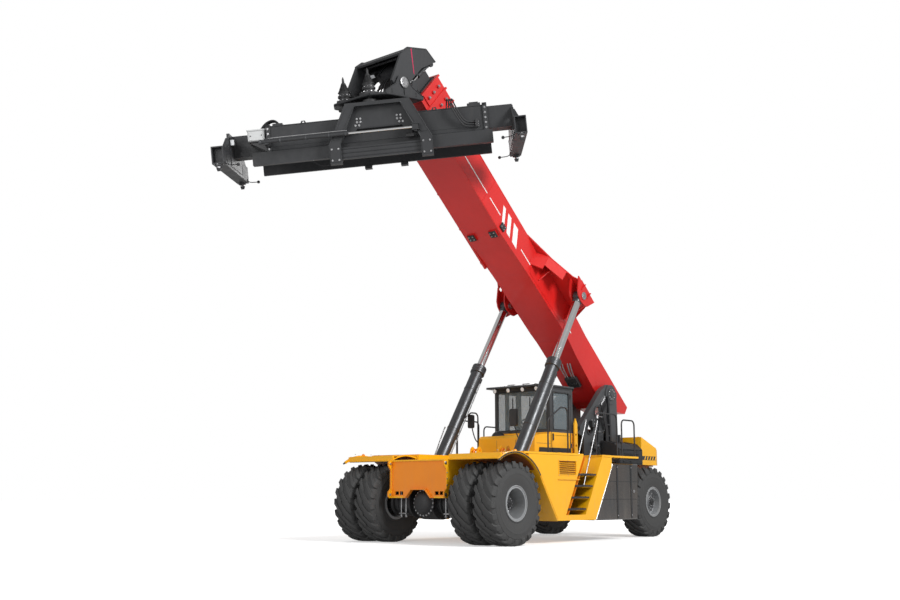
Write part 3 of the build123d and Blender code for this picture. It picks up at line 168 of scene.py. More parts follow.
class Tree:
    """A material's node tree, with short ways to add nodes to it."""

    def __init__(self, name: str) -> None:
        """Start an empty material called name."""
        self.material = bpy.data.materials.new(name)
        self.material.use_nodes = True
        self.nodes = self.material.node_tree
        self.nodes.nodes.clear()
        self.shader = add_node(self.nodes, "ShaderNodeBsdfPrincipled")
        add_node(self.nodes, "ShaderNodeOutputMaterial", {0: self.shader.outputs[0]})
        self.place = self.add("ShaderNodeTexCoord", "Object")

    def add(self, kind: str, output: object = 0, inputs: Optional[dict] = None, **settings: object) -> Socket:
        """Add a node and return one of its outputs."""
        return add_node(self.nodes, kind, inputs, **settings).outputs[output]

    def scaled(self, scale: Point, turn: Point = (0, 0, 0)) -> Socket:
        """Object coordinates through a mapping of the given scale and turn."""
        return self.add("ShaderNodeMapping", 0, {"Scale": scale, "Rotation": turn, "Vector": self.place})

    def noise(self, scale: float, detail: float = 4.0, roughness: float = 0.55,
            place: Optional[Socket] = None) -> Socket:
        """A noise value between 0 and 1."""
        return self.add("ShaderNodeTexNoise", "Fac", {"Scale": scale, "Detail": detail,
            "Roughness": roughness, "Vector": place or self.place})

    def ramp(self, value: Socket, low: float, high: float, bottom: float = 0, top: float = 1.0) -> Socket:
        """Map a value from low..high to bottom..top, clamped."""
        return self.add("ShaderNodeMapRange", "Result", {"From Min": low, "From Max": high, "To Min": bottom,
            "To Max": top, "Value": value}, clamp=True)

    def math(self, kind: str, first: Socket, second: Socket) -> Socket:
        """One math node."""
        return self.add("ShaderNodeMath", 0, {0: first, 1: second}, operation=kind)

    def mix(self, amount: Socket, first: object, second: object) -> Socket:
        """Blend two colours, each a socket or a colour."""
        return self.add("ShaderNodeMix", 2, {0: amount, 6: first, 7: second}, data_type="RGBA")

    def height(self) -> Socket:
        """Height above the ground in metres."""
        return self.add("ShaderNodeSeparateXYZ", "Z", {0: self.place})

    def bump(self, value: Socket, strength: float, distance: float) -> None:
        """Drive the shader's normal by a height value."""
        inputs = {"Strength": strength, "Distance": distance, "Height": value}
        self.set(Normal=self.add("ShaderNodeBump", 0, inputs))

    def set(self, **values: object) -> None:
        """Set shader sockets; underscores in a name stand for spaces."""
        fill(self.nodes, self.shader, {key.replace("_", " "): value for key, value in values.items()})


@dataclass(frozen=True)
class Paint:
    """Sprayed enamel with faint mottle, dust that thickens toward the ground, and a slight orange peel."""

    name: str
    colour: Colour
    shade: Colour
    roughness: float = 0.34
    coat: float = 0.35
    dust: float = 0.25
    dust_colour: Colour = (0.3, 0.26, 0.21)
    dust_height: float = 1.6

    def build(self) -> Material:
        """Build the material."""
        tree = Tree(self.name)
        mottle = tree.ramp(tree.noise(0.9, 5.0), 0.35, 0.7)
        colour = tree.mix(mottle, self.colour, self.shade)
        streaks = tree.ramp(tree.noise(3.0, 6.0, 0.65, tree.scaled((3.0, 3.0, 0.35))), 0.52, 0.78)
        low = tree.ramp(tree.height(), 0.2, self.dust_height, self.dust, self.dust * 0.12)
        dirt = tree.math("MULTIPLY", streaks, low)
        colour = tree.mix(dirt, colour, self.dust_colour)
        grain = tree.noise(55.0, 2.0)
        rough = tree.ramp(tree.noise(7.0, 4.0), 0.3, 0.75, self.roughness, self.roughness + 0.16)
        tree.set(Base_Color=colour, Roughness=rough, Coat_Weight=self.coat, Coat_Roughness=0.12)
        tree.bump(grain, 0.12, 0.001)
        return tree.material


@dataclass(frozen=True)
class Rubber:
    """Tyre and hose rubber, dusty in patches."""

    name: str
    colour: Colour = (0.012, 0.012, 0.013)
    dust_colour: Colour = (0.048, 0.046, 0.044)
    dust: float = 0.55
    grain: float = 140.0

    def build(self) -> Material:
        """Build the material."""
        tree = Tree(self.name)
        patches = tree.ramp(tree.noise(3.5, 6.0, 0.6), 0.38, 0.72, 0, self.dust)
        colour = tree.mix(patches, self.colour, self.dust_colour)
        speckle = tree.ramp(tree.noise(60.0, 3.0), 0.45, 0.7, 0, 0.22)
        colour = tree.mix(speckle, colour, self.dust_colour)
        tree.set(Base_Color=colour, Roughness=tree.ramp(patches, 0, 0.6, 0.62, 0.88), Specular_IOR_Level=0.35)
        tree.bump(tree.noise(self.grain, 3.0), 0.25, 0.0015)
        return tree.material


@dataclass(frozen=True)
class Metal:
    """Bare, plated or cast metal with fine drawn marks."""

    name: str
    colour: Colour
    roughness: float = 0.22
    metallic: float = 1.0
    marks: Point = (1.0, 1.0, 1.0)
    wear: float = 0.14

    def build(self) -> Material:
        """Build the material."""
        tree = Tree(self.name)
        marks = tree.noise(30.0, 4.0, 0.6, tree.scaled(self.marks))
        darker = tuple(part * 0.72 for part in self.colour)
        colour = tree.mix(tree.ramp(marks, 0.4, 0.75), self.colour, darker)
        rough = tree.ramp(tree.noise(6.0, 4.0), 0.3, 0.7, self.roughness, self.roughness + self.wear)
        tree.set(Base_Color=colour, Metallic=self.metallic, Roughness=rough)
        tree.bump(marks, 0.05, 0.0006)
        return tree.material


@dataclass(frozen=True)
class Glass:
    """Tinted cab glass."""

    name: str
    tint: Colour = (0.42, 0.47, 0.48)
    alpha: float = 0.42

    def build(self) -> Material:
        """Build the material."""
        tree = Tree(self.name)
        film = tree.ramp(tree.noise(2.2, 5.0), 0.45, 0.75, 0.03, 0.12)
        tree.set(Base_Color=self.tint, Roughness=film, Alpha=self.alpha, Specular_IOR_Level=0.7)
        return tree.material


@dataclass(frozen=True)
class Plastic:
    """Moulded plastic, lenses, and woven or stitched seat cloth by its grain."""

    name: str
    colour: Colour
    roughness: float = 0.5
    grain: float = 220.0
    relief: float = 0.15
    glow: float = 0

    def build(self) -> Material:
        """Build the material."""
        tree = Tree(self.name)
        tone = tree.ramp(tree.noise(4.0, 4.0), 0.35, 0.7)
        lighter = tuple(min(1.0, part * 1.25 + 0.01) for part in self.colour)
        tree.set(Base_Color=tree.mix(tone, self.colour, lighter), Roughness=self.roughness)
        if self.glow:
            tree.set(Emission_Color=self.colour, Emission_Strength=self.glow)
        tree.bump(tree.noise(self.grain, 2.0), self.relief, 0.001)
        return tree.material


@dataclass(frozen=True)
class TreadPlate:
    """Raised-bar floor plate."""

    name: str
    colour: Colour

    def build(self) -> Material:
        """Build the material."""
        tree = Tree(self.name)
        bars = []
        for turn in (pi / 4, -pi / 4):
            wave = tree.add("ShaderNodeTexWave", "Fac", {"Scale": 9.0, "Distortion": 0,
                "Vector": tree.scaled((1.0, 1.0, 1.0), (0, 0, turn))})
            bars.append(tree.ramp(wave, 0.72, 0.9))
        relief = tree.math("MAXIMUM", bars[0], bars[1])
        tone = tree.ramp(tree.noise(2.0, 6.0, 0.6), 0.4, 0.7)
        lighter = tuple(part * 1.7 + 0.02 for part in self.colour)
        tree.set(Base_Color=tree.mix(tone, self.colour, lighter), Roughness=0.55)
        tree.bump(relief, 0.35, 0.003)
        return tree.material


class Finish(Enum):
    """Every finish on the machine."""

    YELLOW = Paint("yellow_enamel", (0.95, 0.47, 0.004), (0.89, 0.42, 0.003))
    # orange: painted shade of the yellow on the front plate, its welds and the stair well; also used on the
    # deck rings
    ORANGE_AND_PAINTED_SHADE = Paint("orange_and_painted_shade_enamel", (0.92, 0.27, 0.003), (0.86, 0.24, 0.003))
    RED = Paint("red_enamel", (0.62, 0.014, 0.012), (0.54, 0.011, 0.01), dust=0.1, dust_height=4.0)
    # brown-orange: painted shade of the yellow body, for surfaces under the arches, behind the louvre slats
    # and under the counterweight's overhang
    PAINTED_SHADE_BROWN = Paint("painted_shade_brown_enamel", (0.3, 0.075, 0.008), (0.24, 0.06, 0.007), roughness=0.48, coat=0.1)
    MAGENTA = Paint("magenta_stripe", (0.55, 0.01, 0.09), (0.48, 0.01, 0.07), dust=0)
    WHITE = Paint("white_stripe", (0.8, 0.8, 0.79), (0.72, 0.72, 0.71), dust=0.08)
    CHARCOAL = Paint("charcoal_enamel", (0.017, 0.018, 0.02), (0.025, 0.026, 0.029), roughness=0.52,
        coat=0.06, dust=0.22)
    TANK = Paint("tank_enamel", (0.022, 0.021, 0.021), (0.05, 0.035, 0.025), roughness=0.16, coat=0.7,
        dust=0.3)
    GREY = Paint("grey_enamel", (0.044, 0.046, 0.049), (0.062, 0.064, 0.068), roughness=0.4, coat=0.2)
    SILVER = Paint("silver_enamel", (0.3, 0.31, 0.32), (0.22, 0.225, 0.23), roughness=0.36, coat=0.25,
        dust=0.55)
    CABINET = Paint("pale_cabinet", (0.55, 0.56, 0.56), (0.47, 0.48, 0.48), dust=0.1)
    GUNMETAL = Metal("gunmetal_barrel", (0.1, 0.103, 0.108), 0.3, 0.75)
    CHROME = Metal("chrome_rod", (0.78, 0.78, 0.79), 0.1, 1.0, (1.0, 1.0, 1.0), 0.06)
    STEEL = Metal("zinc_steel", (0.48, 0.48, 0.49), 0.34)
    IRON = Metal("cast_iron", (0.045, 0.045, 0.047), 0.55, 0.4)
    TYRE = Rubber("tyre_rubber")
    HOSE = Rubber("hose_rubber", (0.022, 0.022, 0.024), (0.07, 0.07, 0.07), 0.2, 260.0)
    GLASS = Glass("tinted_glass")
    BLACK = Plastic("black_moulding", (0.018, 0.018, 0.02), 0.45)
    CLOTH = Plastic("seat_cloth", (0.035, 0.036, 0.042), 0.85, 600.0, 0.5)
    TRIM = Plastic("cab_trim", (0.16, 0.16, 0.165), 0.6)
    AMBER = Plastic("amber_lens", (0.85, 0.26, 0.01), 0.15, 90.0, 0.05, 0.15)
    CLEAR = Plastic("clear_lens", (0.7, 0.72, 0.74), 0.08, 120.0, 0.3)
    SIGNAL_RED = Plastic("red_lens", (0.6, 0.02, 0.015), 0.15, 90.0, 0.05, 0.1)
    DECK = TreadPlate("deck_plate", (0.045, 0.045, 0.047))

    def material(self) -> Material:
        """Return the finish's material, built on first use."""
        found = bpy.data.materials.get(self.value.name)
        return found or self.value.build()


# what isn't named here is charcoal; the front plate's orange is painted shade of its yellow
NODE_FINISH: dict[str, Finish] = {name: finish for finish, names in ((Finish.YELLOW,
    "main_frame front_left_fender front_right_fender left_side_body right_side_body deck_plates "
    "counterweight cab_tub door_post"), (Finish.ORANGE_AND_PAINTED_SHADE, "front_plate"),
    (Finish.RED, "boom_outer boom_collar lift_wings"),
    (Finish.IRON, "front_axle rear_axle left_knuckle right_knuckle engine_block slew_drive"),
    (Finish.BLACK, "stair_treads cab_controls handrails"), (Finish.TANK, "fuel_tank hydraulic_tank"),
    (Finish.GREY, "boom_tower cab_frame cab_roof cab_door"), (Finish.GLASS, "cab_glass cab_door_glass"),
    (Finish.CLOTH, "cab_seat"),
    (Finish.SILVER, "front_left_rims front_right_rims rear_left_rim rear_right_rim"),
    (Finish.TYRE, "front_left_tyres front_right_tyres rear_left_tyre rear_right_tyre"),
    (Finish.GUNMETAL, "lift_barrels damper_barrels"), (Finish.CHROME, "lift_rods damper_rods"),)
    for name in names.split()}


def dress_cad_nodes() -> None:
    """Give every CAD node its finish."""
    for name, node in frame["nodes"].items():
        material = NODE_FINISH.get(name, Finish.CHARCOAL).material()
        if not node.material_slots:
            node.data.materials.append(material)
        for entry in node.material_slots:
            entry.material = material
    LOG.info("dressed %d nodes", len(frame["nodes"]))


# ---------------------------------------- mesh making
class Mesher:
    """Collects solids in one local frame and turns them into a finished piece."""

    def __init__(self, name: str, frame: Frame = Frame(), side: int = 1) -> None:
        """Start a piece.

        Args:
            name: its name.
            frame: the frame of its points.
            side: 1, or -1 to mirror the points it is given from y to -y.
        """
        self.name = name
        self.frame = frame
        self.side = side
        self.mesh = bmesh.new()

    def sides(self, *others: "Mesher") -> Iterator[int]:
        """Yield 1 and -1, and meanwhile let this mesher and others build on that side."""
        for side in (1, -1):
            for member in (self, *others):
                member.side = side
            yield side
        for member in (self, *others):
            member.side = 1

    def sided(self, point: Point) -> Vector:
        """The point on the side that is being built."""
        return Vector((point[0], self.side * point[1], point[2]))

    def loft(self, rings: Sequence[Sequence[Vector]], closed: bool = False) -> None:
        """Join rings of equal length into a skin, with caps where it isn't closed."""
        made = [[self.mesh.verts.new(point) for point in ring] for ring in rings]
        count = len(made[0])
        last = len(made) if closed else len(made) - 1
        for index in range(last):
            ring, after = made[index], made[(index + 1) % len(made)]
            for corner in range(count):
                nxt = (corner + 1) % count
                self.mesh.faces.new((ring[corner], ring[nxt], after[nxt], after[corner]))
        if not closed:
            self.mesh.faces.new(list(reversed(made[0])))
            self.mesh.faces.new(made[-1])

    def box(self, low: Point, high: Point, bevel: float = 0.004) -> "Mesher":
        """Add a box with small chamfers on its edges."""
        low, high = self.sided(low), self.sided(high)
        low, high = [min(a, b) for a, b in zip(low, high)], [max(a, b) for a, b in zip(low, high)]
        middle = [(a + b) / 2 for a, b in zip(low, high)]
        size = [b - a for a, b in zip(low, high)]
        made = bmesh.ops.create_cube(self.mesh, size=1.0)
        bmesh.ops.scale(self.mesh, vec=size, verts=made["verts"])
        bmesh.ops.translate(self.mesh, vec=middle, verts=made["verts"])
        width = min(bevel, min(size) * 0.3)
        if width > 0.0004:
            edges = list(dict.fromkeys(edge for vert in made["verts"] for edge in vert.link_edges))
            bmesh.ops.bevel(self.mesh, geom=edges, offset=width, segments=1, affect="EDGES")
        return self

    def prism(self, outline: Sequence[Point], start: float, end: float, axis: str = "y",
            bevel: float = 0) -> "Mesher":
        """Add an outline swept along an axis.

        Args:
            outline: corners as (x, z) for axis y, (x, y) for axis z, (y, z) for axis x.
            start: where the sweep starts on the axis.
            end: where it ends.
            axis: the sweep's axis.
            bevel: chamfer of the two rims.

        Returns:
            This mesher.
        """
        place: dict[str, Callable[[Point, float], Vector]] = {"y": lambda p, t: self.sided((p[0], t, p[1])),
            "z": lambda p, t: self.sided((p[0], p[1], t)), "x": lambda p, t: self.sided((t, p[0], p[1])),}
        before = set(self.mesh.edges)
        self.loft([[place[axis](corner, level) for corner in outline] for level in (start, end)])
        if bevel:
            rims = [edge for edge in self.mesh.edges if edge not in before
                and abs((edge.verts[0].co - edge.verts[1].co)["xyz".index(axis)]) < 1e-6]
            bmesh.ops.bevel(self.mesh, geom=rims, offset=bevel, segments=2, affect="EDGES")
        return self

    def rod(self, start: Point, end: Point, radius: float, segments: int = 20) -> "Mesher":
        """Add a round bar with chamfered ends between two points."""
        length = (Vector(end) - Vector(start)).length
        chamfer = min(0.004, radius * 0.2, length * 0.2)
        profile = [(0, radius - chamfer), (chamfer, radius), (length - chamfer, radius),
            (length, max(radius - chamfer, 1e-4))]
        return self.turned(start, Vector(end) - Vector(start), profile, segments)

    def turned(self, start: Point, direction: Point, profile: Sequence[tuple[float, float]],
            segments: int = 32, hollow: bool = False) -> "Mesher":
        """Add a turned shape.

        Args:
            start: point on the axis where the profile's lengths start.
            direction: the axis.
            profile: (length along the axis, radius) pairs.
            segments: faces round it.
            hollow: True if the profile is a closed loop round a ring.

        Returns:
            This mesher.
        """
        z_dir = self.sided(direction).normalized()
        x_dir = z_dir.orthogonal().normalized()
        y_dir = z_dir.cross(x_dir)
        rings = []
        for step in range(segments):
            angle = tau * step / segments
            radial = x_dir * cos(angle) + y_dir * sin(angle)
            rings.append([self.sided(start) + z_dir * along + radial * radius for along, radius in profile])
        if hollow:
            self.loft(rings, closed=True)
            return self
        columns = [[ring[index] for ring in rings] for index in range(len(profile))]
        self.loft(columns)
        return self

    def pipe(self, points: Sequence[Point], radius: float, segments: int = 10, smooth: int = 6) -> "Mesher":
        """Add a tube that bends smoothly through the points.

        Args:
            points: where its line goes.
            radius: the tube's radius.
            segments: faces round it.
            smooth: steps between two points; 1 keeps straight runs.

        Returns:
            This mesher.
        """
        line = smooth_line([self.sided(point) for point in points], smooth)
        rings = []
        normal = (line[1] - line[0]).orthogonal().normalized()
        for index, point in enumerate(line):
            ahead = line[min(index + 1, len(line) - 1)]
            behind = line[max(index - 1, 0)]
            tangent = (ahead - behind).normalized()
            normal = (normal - tangent * normal.dot(tangent)).normalized()
            side = tangent.cross(normal)
            rings.append([point + normal * (radius * cos(turn)) + side * (radius * sin(turn))
                for turn in (tau * step / segments for step in range(segments))])
        self.loft(rings)
        return self

    def take(self, other: Mesh, turn: Matrix = Matrix.Identity(4)) -> "Mesher":
        """Add a copy of another mesh, placed by turn."""
        copy = other.copy()
        copy.transform(turn)
        self.mesh.from_mesh(copy)
        bpy.data.meshes.remove(copy)
        return self

    def raw(self) -> Mesh:
        """Return the mesh in local coordinates, without placing it."""
        bmesh.ops.recalc_face_normals(self.mesh, faces=self.mesh.faces)
        mesh = bpy.data.meshes.new(self.name + "_part")
        self.mesh.to_mesh(mesh)
        self.mesh.free()
        return mesh

    def finish(self, finish: Finish, body: str = "", replaces: Iterable[str] = (), sharp: float = 35.0,
            ground: bool = False) -> bpy.types.Object:
        """Place the mesh, shade it, paint it and let it ride on a body.

        Args:
            finish: its finish.
            body: the CAD body that it rides on; the frame's own if empty.
            replaces: CAD nodes that it stands for.
            sharp: edges over this angle in degrees stay sharp.
            ground: True presses it flat where it would sink below the ground.

        Returns:
            The piece's object.
        """
        bmesh.ops.recalc_face_normals(self.mesh, faces=self.mesh.faces)
        self.mesh.transform(self.frame.place)
        if ground:
            for vert in self.mesh.verts:
                vert.co.z = max(vert.co.z, 0)
        for face in self.mesh.faces:
            face.smooth = True
        for edge in self.mesh.edges:
            edge.smooth = len(edge.link_faces) == 2 and edge.calc_face_angle(0) < radians(sharp)
        data = bpy.data.meshes.new(self.name)
        self.mesh.to_mesh(data)
        self.mesh.free()
        piece = bpy.data.objects.new(self.name, data)
        bpy.context.scene.collection.objects.link(piece)
        data.materials.append(finish.material())
        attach(piece, body or self.frame.body)
        if replaces:
            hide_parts(*replaces)
        LOG.info("%s: %d faces on %s", self.name, len(data.polygons), body or self.frame.body)
        return piece


def smooth_line(points: Sequence[Vector], steps: int) -> list[Vector]:
    """Run a smooth curve through points.

    Args:
        points: the points that the curve passes.
        steps: divisions between two points.

    Returns:
        Points along the curve.
    """
    if steps < 2 or len(points) < 3:
        return list(points)
    line = []
    padded = [points[0] * 2 - points[1], *points, points[-1] * 2 - points[-2]]
    for before, start, end, after in zip(padded, padded[1:], padded[2:], padded[3:]):
        for step in range(steps):
            t = step / steps
            line.append(0.5 * (2 * start + (end - before) * t + (2 * before - 5 * start + 4 * end - after)
                * t * t + (3 * start - before - 3 * end + after) * t ** 3))
    line.append(points[-1])
    return line


# ---------------------------------------- repeats
class Repeater:
    """Geometry Nodes trees that repeat a small mesh round a ring or along a row."""

    @staticmethod
    def tree(name: str, sizes: Sequence[tuple[str, str, object]], lay: Callable) -> bpy.types.NodeTree:
        """Find or build a tree that repeats its geometry, realizes it and paints it.

        Args:
            name: the tree's name.
            sizes: (label, socket type, value) of its inputs.
            lay: function of the tree and its inputs that gives the instances.

        Returns:
            The tree.
        """
        if name in bpy.data.node_groups:
            return bpy.data.node_groups[name]
        tree = bpy.data.node_groups.new(name, "GeometryNodeTree")
        tree.interface.new_socket("Geometry", in_out="INPUT", socket_type="NodeSocketGeometry")
        for label, kind, value in sizes:
            tree.interface.new_socket(label, in_out="INPUT", socket_type=kind).default_value = value
        tree.interface.new_socket("Material", in_out="INPUT", socket_type="NodeSocketMaterial")
        tree.interface.new_socket("Geometry", in_out="OUTPUT", socket_type="NodeSocketGeometry")
        given = tree.nodes.new("NodeGroupInput").outputs
        solid = add_node(tree, "GeometryNodeRealizeInstances", {0: lay(tree, given)})
        painted = add_node(tree, "GeometryNodeSetMaterial", {"Geometry": solid.outputs[0],
            "Material": given["Material"]})
        add_node(tree, "NodeGroupOutput", {0: painted.outputs[0]})
        return tree

    @staticmethod
    def lay_ring(tree: bpy.types.NodeTree, given: object) -> Socket:
        """Instances round the z axis, each turned by its own angle."""
        circle = add_node(tree, "GeometryNodeMeshCircle", {"Vertices": given["Count"],
            "Radius": given["Radius"]})
        index = add_node(tree, "GeometryNodeInputIndex")
        share = add_node(tree, "ShaderNodeMath", {0: index.outputs[0], 1: given["Count"]}, operation="DIVIDE")
        angle = add_node(tree, "ShaderNodeMath", {0: share.outputs[0], 1: tau}, operation="MULTIPLY")
        turn = add_node(tree, "ShaderNodeCombineXYZ", {"Z": angle.outputs[0]})
        return add_node(tree, "GeometryNodeInstanceOnPoints", {"Points": circle.outputs[0],
            "Instance": given["Geometry"], "Rotation": turn.outputs[0]}).outputs[0]

    @staticmethod
    def lay_row(tree: bpy.types.NodeTree, given: object) -> Socket:
        """Instances along a straight row."""
        line = add_node(tree, "GeometryNodeMeshLine", {"Count": given["Count"], "Offset": given["Step"]})
        return add_node(tree, "GeometryNodeInstanceOnPoints", {"Points": line.outputs[0],
            "Instance": given["Geometry"]}).outputs[0]

    @staticmethod
    def bake(part: Mesh, tree: bpy.types.NodeTree, finish: Finish, **sizes: object) -> Mesh:
        """Run a tree on a part and return the plain mesh.

        Args:
            part: the mesh that is repeated.
            tree: the tree.
            finish: the finish given by Set Material.
            **sizes: values of the tree's named inputs.

        Returns:
            The repeated mesh, in the part's own coordinates.
        """
        carrier = bpy.data.objects.new("repeat_source", part)
        bpy.context.scene.collection.objects.link(carrier)
        modifier = carrier.modifiers.new("Repeat", "NODES")
        modifier.node_group = tree
        sockets = {item.name: item.identifier for item in tree.interface.items_tree
            if item.item_type == "SOCKET" and item.in_out == "INPUT"}
        for label, value in {**sizes, "Material": finish.material()}.items():
            modifier[sockets[label]] = value
        graph = bpy.context.evaluated_depsgraph_get()
        graph.update()
        result = bpy.data.meshes.new_from_object(carrier.evaluated_get(graph))
        carrier.modifiers.clear()
        bpy.data.objects.remove(carrier)
        return result

    @classmethod
    def ring(cls, part: Mesh, finish: Finish, count: int, radius: float) -> Mesh:
        """Repeat a part round the z axis at a radius."""
        tree = cls.tree("ring_of_parts", (("Count", "NodeSocketInt", 12),
            ("Radius", "NodeSocketFloat", 0.2)), cls.lay_ring)
        return cls.bake(part, tree, finish, Count=count, Radius=radius)

    @classmethod
    def row(cls, part: Mesh, finish: Finish, count: int, step: Point) -> Mesh:
        """Repeat a part along a row."""
        tree = cls.tree("row_of_parts", (("Count", "NodeSocketInt", 8),
            ("Step", "NodeSocketVector", (0.1, 0, 0))), cls.lay_row)
        return cls.bake(part, tree, finish, Count=count, Step=tuple(step))


def hexagon_bolt(size: float, height: float = 0) -> Mesh:
    """A hexagon head on its washer, standing on the xy plane.

    Args:
        size: the head's width across corners.
        height: the head's height; two fifths of size if 0.

    Returns:
        The mesh.
    """
    tall = height or size * 0.4
    made = Mesher("bolt")
    made.turned((0, 0, -0.002), (0, 0, 1), [(0, size * 0.62), (size * 0.1, size * 0.62)], 16)
    made.turned((0, 0, size * 0.06), (0, 0, 1), [(0, size * 0.5), (tall * 0.85, size * 0.5),
        (tall, size * 0.42)], 6)
    return made.raw()


# places, directions, and which way the z axis of a turned or ringed part is sent
at = Matrix.Translation
UP, AHEAD, LEFT = (0, 0, 1), (1, 0, 0), (0, 1, 0)
OUTWARD = {side: Matrix.Rotation(radians(-90.0 * side), 4, "X") for side in (1, -1)}
TO_X = Matrix.Rotation(radians(90.0), 4, "Y")
SIDES = ((1, "left"), (-1, "right"))
OVER = Matrix.Rotation(pi, 4, "X")


def turns(count: int) -> Iterable[float]:
    """Equal angles round a circle."""
    return (tau * step / count for step in range(count))


def bolt_ring(count: int, radius: float, size: float, height: float = 0) -> Mesh:
    """Hexagon bolts of a size and height, on a circle round the z axis."""
    return Repeater.ring(hexagon_bolt(size, height), Finish.STEEL, count, radius)


def rectangle(left: float, low: float, right: float, high: float) -> list[tuple[float, float]]:
    """Outline of an upright rectangle."""
    return [(left, low), (right, low), (right, high), (left, high)]


# ---------------------------------------- hoses
@dataclass(frozen=True)
class Hose:
    """A hose or wire that hangs free between two fittings."""

    name: str
    body: str
    diameter: float
    length: float
    points: tuple[Point, ...]
    lay: str = "hanging"
    stiffness: str = "stiff"

    def line(self, place: Matrix) -> list[Vector]:
        """The hose's centreline, one smooth curve whose control points are its own.

        Args:
            place: matrix from the points to the row frame.

        Returns:
            Points along it.
        """
        data = bpy.data.curves.new(self.name + "_route", "CURVE")
        data.dimensions = "3D"
        data.resolution_u = 8
        spline = data.splines.new("NURBS")
        spline.points.add(len(self.points) - 1)
        for knot, point in zip(spline.points, self.points):
            knot.co = (*(place @ Vector(point)), 1.0)
        spline.order_u = 3
        spline.use_endpoint_u = True
        route = bpy.data.objects.new(self.name + "_route", data)
        bpy.context.scene.collection.objects.link(route)
        graph = bpy.context.evaluated_depsgraph_get()
        graph.update()
        read = bpy.data.meshes.new_from_object(route.evaluated_get(graph))
        line = [vert.co.copy() for vert in read.vertices]
        bpy.data.objects.remove(route)
        bpy.data.meshes.remove(read)
        return line

    def build(self, place: Matrix, fittings: "Mesher") -> None:
        """Build the hose and its two end fittings.

        Args:
            place: matrix from the points to the row frame.
            fittings: the mesher, in the row frame, that takes the fittings.
        """
        line = self.line(place)
        made = Mesher(self.name)
        made.pipe(line, self.diameter / 2, 12, 1)
        piece = made.finish(Finish.HOSE, self.body)
        measured = sum((after - point).length for point, after in zip(line, line[1:]))
        LOG.info("%s: %.2f m long", self.name, measured)
        tuple(line[0])
        [tuple(point) for point in line]
        for end, ahead in ((line[0], line[1]), (line[-1], line[-2])):
            way = (ahead - end).normalized()
            size = self.diameter
            fittings.rod(end - way * size * 0.9, end + way * size * 0.9, size * 0.62, 16)
            fittings.turned(end - way * size * 1.5, way, [(0, size * 0.66), (size * 0.55, size * 0.66)], 6)


# ---------------------------------------- wheels
@dataclass
class Tyre:
    """A heavy traction tyre with chevron lugs, drawn round the z axis."""

    width: float = 0.5
    radius: float = 0.8075
    lugs: int = 21
    sweep: float = 0.34
    segments: int = 96

    def carcass(self) -> list[tuple[float, float]]:
        """Half section of the tyre without lugs.

        Returns:
            (width from the middle, radius) pairs from the bead to the crown.
        """
        half = self.width / 2
        top = self.radius
        return [(0.15, 0.32), (0.19, 0.321), (0.2, 0.334), (0.213, 0.345), (0.219, 0.362), (0.214, 0.374),
            (0.222, 0.41), (0.234, 0.45), (0.243, 0.49), (half - 0.003, 0.53), (half, 0.556),
            (half + 0.002, 0.56), (half + 0.002, 0.574), (half - 0.002, 0.578), (half - 0.006, 0.615),
            (half - 0.011, 0.648), (half - 0.009, 0.652), (half - 0.01, 0.664), (half - 0.018, 0.67),
            (half - 0.026, top - 0.098), (half - 0.042, top - 0.062), (half - 0.075, top - 0.042),
            (0.08, top - 0.031), (0, top - 0.028)]

    def lug(self) -> Mesh:
        """One lug of the +z half, from near the crown's middle over the shoulder and down the sidewall.

        Returns:
            The mesh.
        """
        half, top = self.width / 2, self.radius
        stations = ((0.006, top - 0.001, 0, 0.044), (0.07, top - 0.001, 0.3, 0.052),
            (0.135, top - 0.003, 0.6, 0.06), (0.19, top - 0.008, 0.84, 0.068),
            (half - 0.024, top - 0.018, 0.96, 0.074), (half - 0.008, top - 0.044, 1.0, 0.074),
            (half + 0.001, top - 0.085, 1.0, 0.072), (half, top - 0.118, 1.0, 0.07),
            (half - 0.01, top - 0.132, 1.0, 0.068))
        roots = ((0.006, 0.045), (0.07, 0.047), (0.135, 0.055), (0.18, 0.062), (0.196, 0.08), (0.206, 0.105),
            (half - 0.04, 0.125), (half - 0.03, 0.14), (half - 0.022, 0.142))
        made = Mesher("lug")
        rings = []
        for (wide, high, share, spread), (root_wide, root_drop) in zip(stations, roots):
            middle = self.sweep * share
            corners = []
            for offset, lift in ((-1.08, 0), (-1.0, 0.8), (-0.88, 1.0), (0.88, 1.0), (1.0, 0.8), (1.08, 0)):
                radius = (top - root_drop) * (1 - lift) + high * lift
                across = root_wide * (1 - lift) + wide * lift
                angle = middle + spread * offset
                corners.append(Vector((radius * cos(angle), radius * sin(angle), across)))
            rings.append(corners)
        made.loft(rings)
        return made.raw()

    def mesh(self) -> Mesh:
        """The whole tyre round the z axis, its middle at z = 0.

        Returns:
            The mesh.
        """
        made = Mesher("tyre")
        half = self.carcass()
        section = half + [(-wide, radius) for wide, radius in reversed(half[:-1])]
        made.turned((0, 0, 0), UP, section, self.segments, hollow=True)
        ring = Repeater.ring(self.lug(), Finish.TYRE, self.lugs, 0)
        pitch = tau / self.lugs
        made.take(ring)
        made.take(ring, Matrix.Rotation(pitch / 2, 4, "Z") @ OVER @ Matrix.Rotation(-self.sweep * 2, 4, "Z"))
        return made.raw()


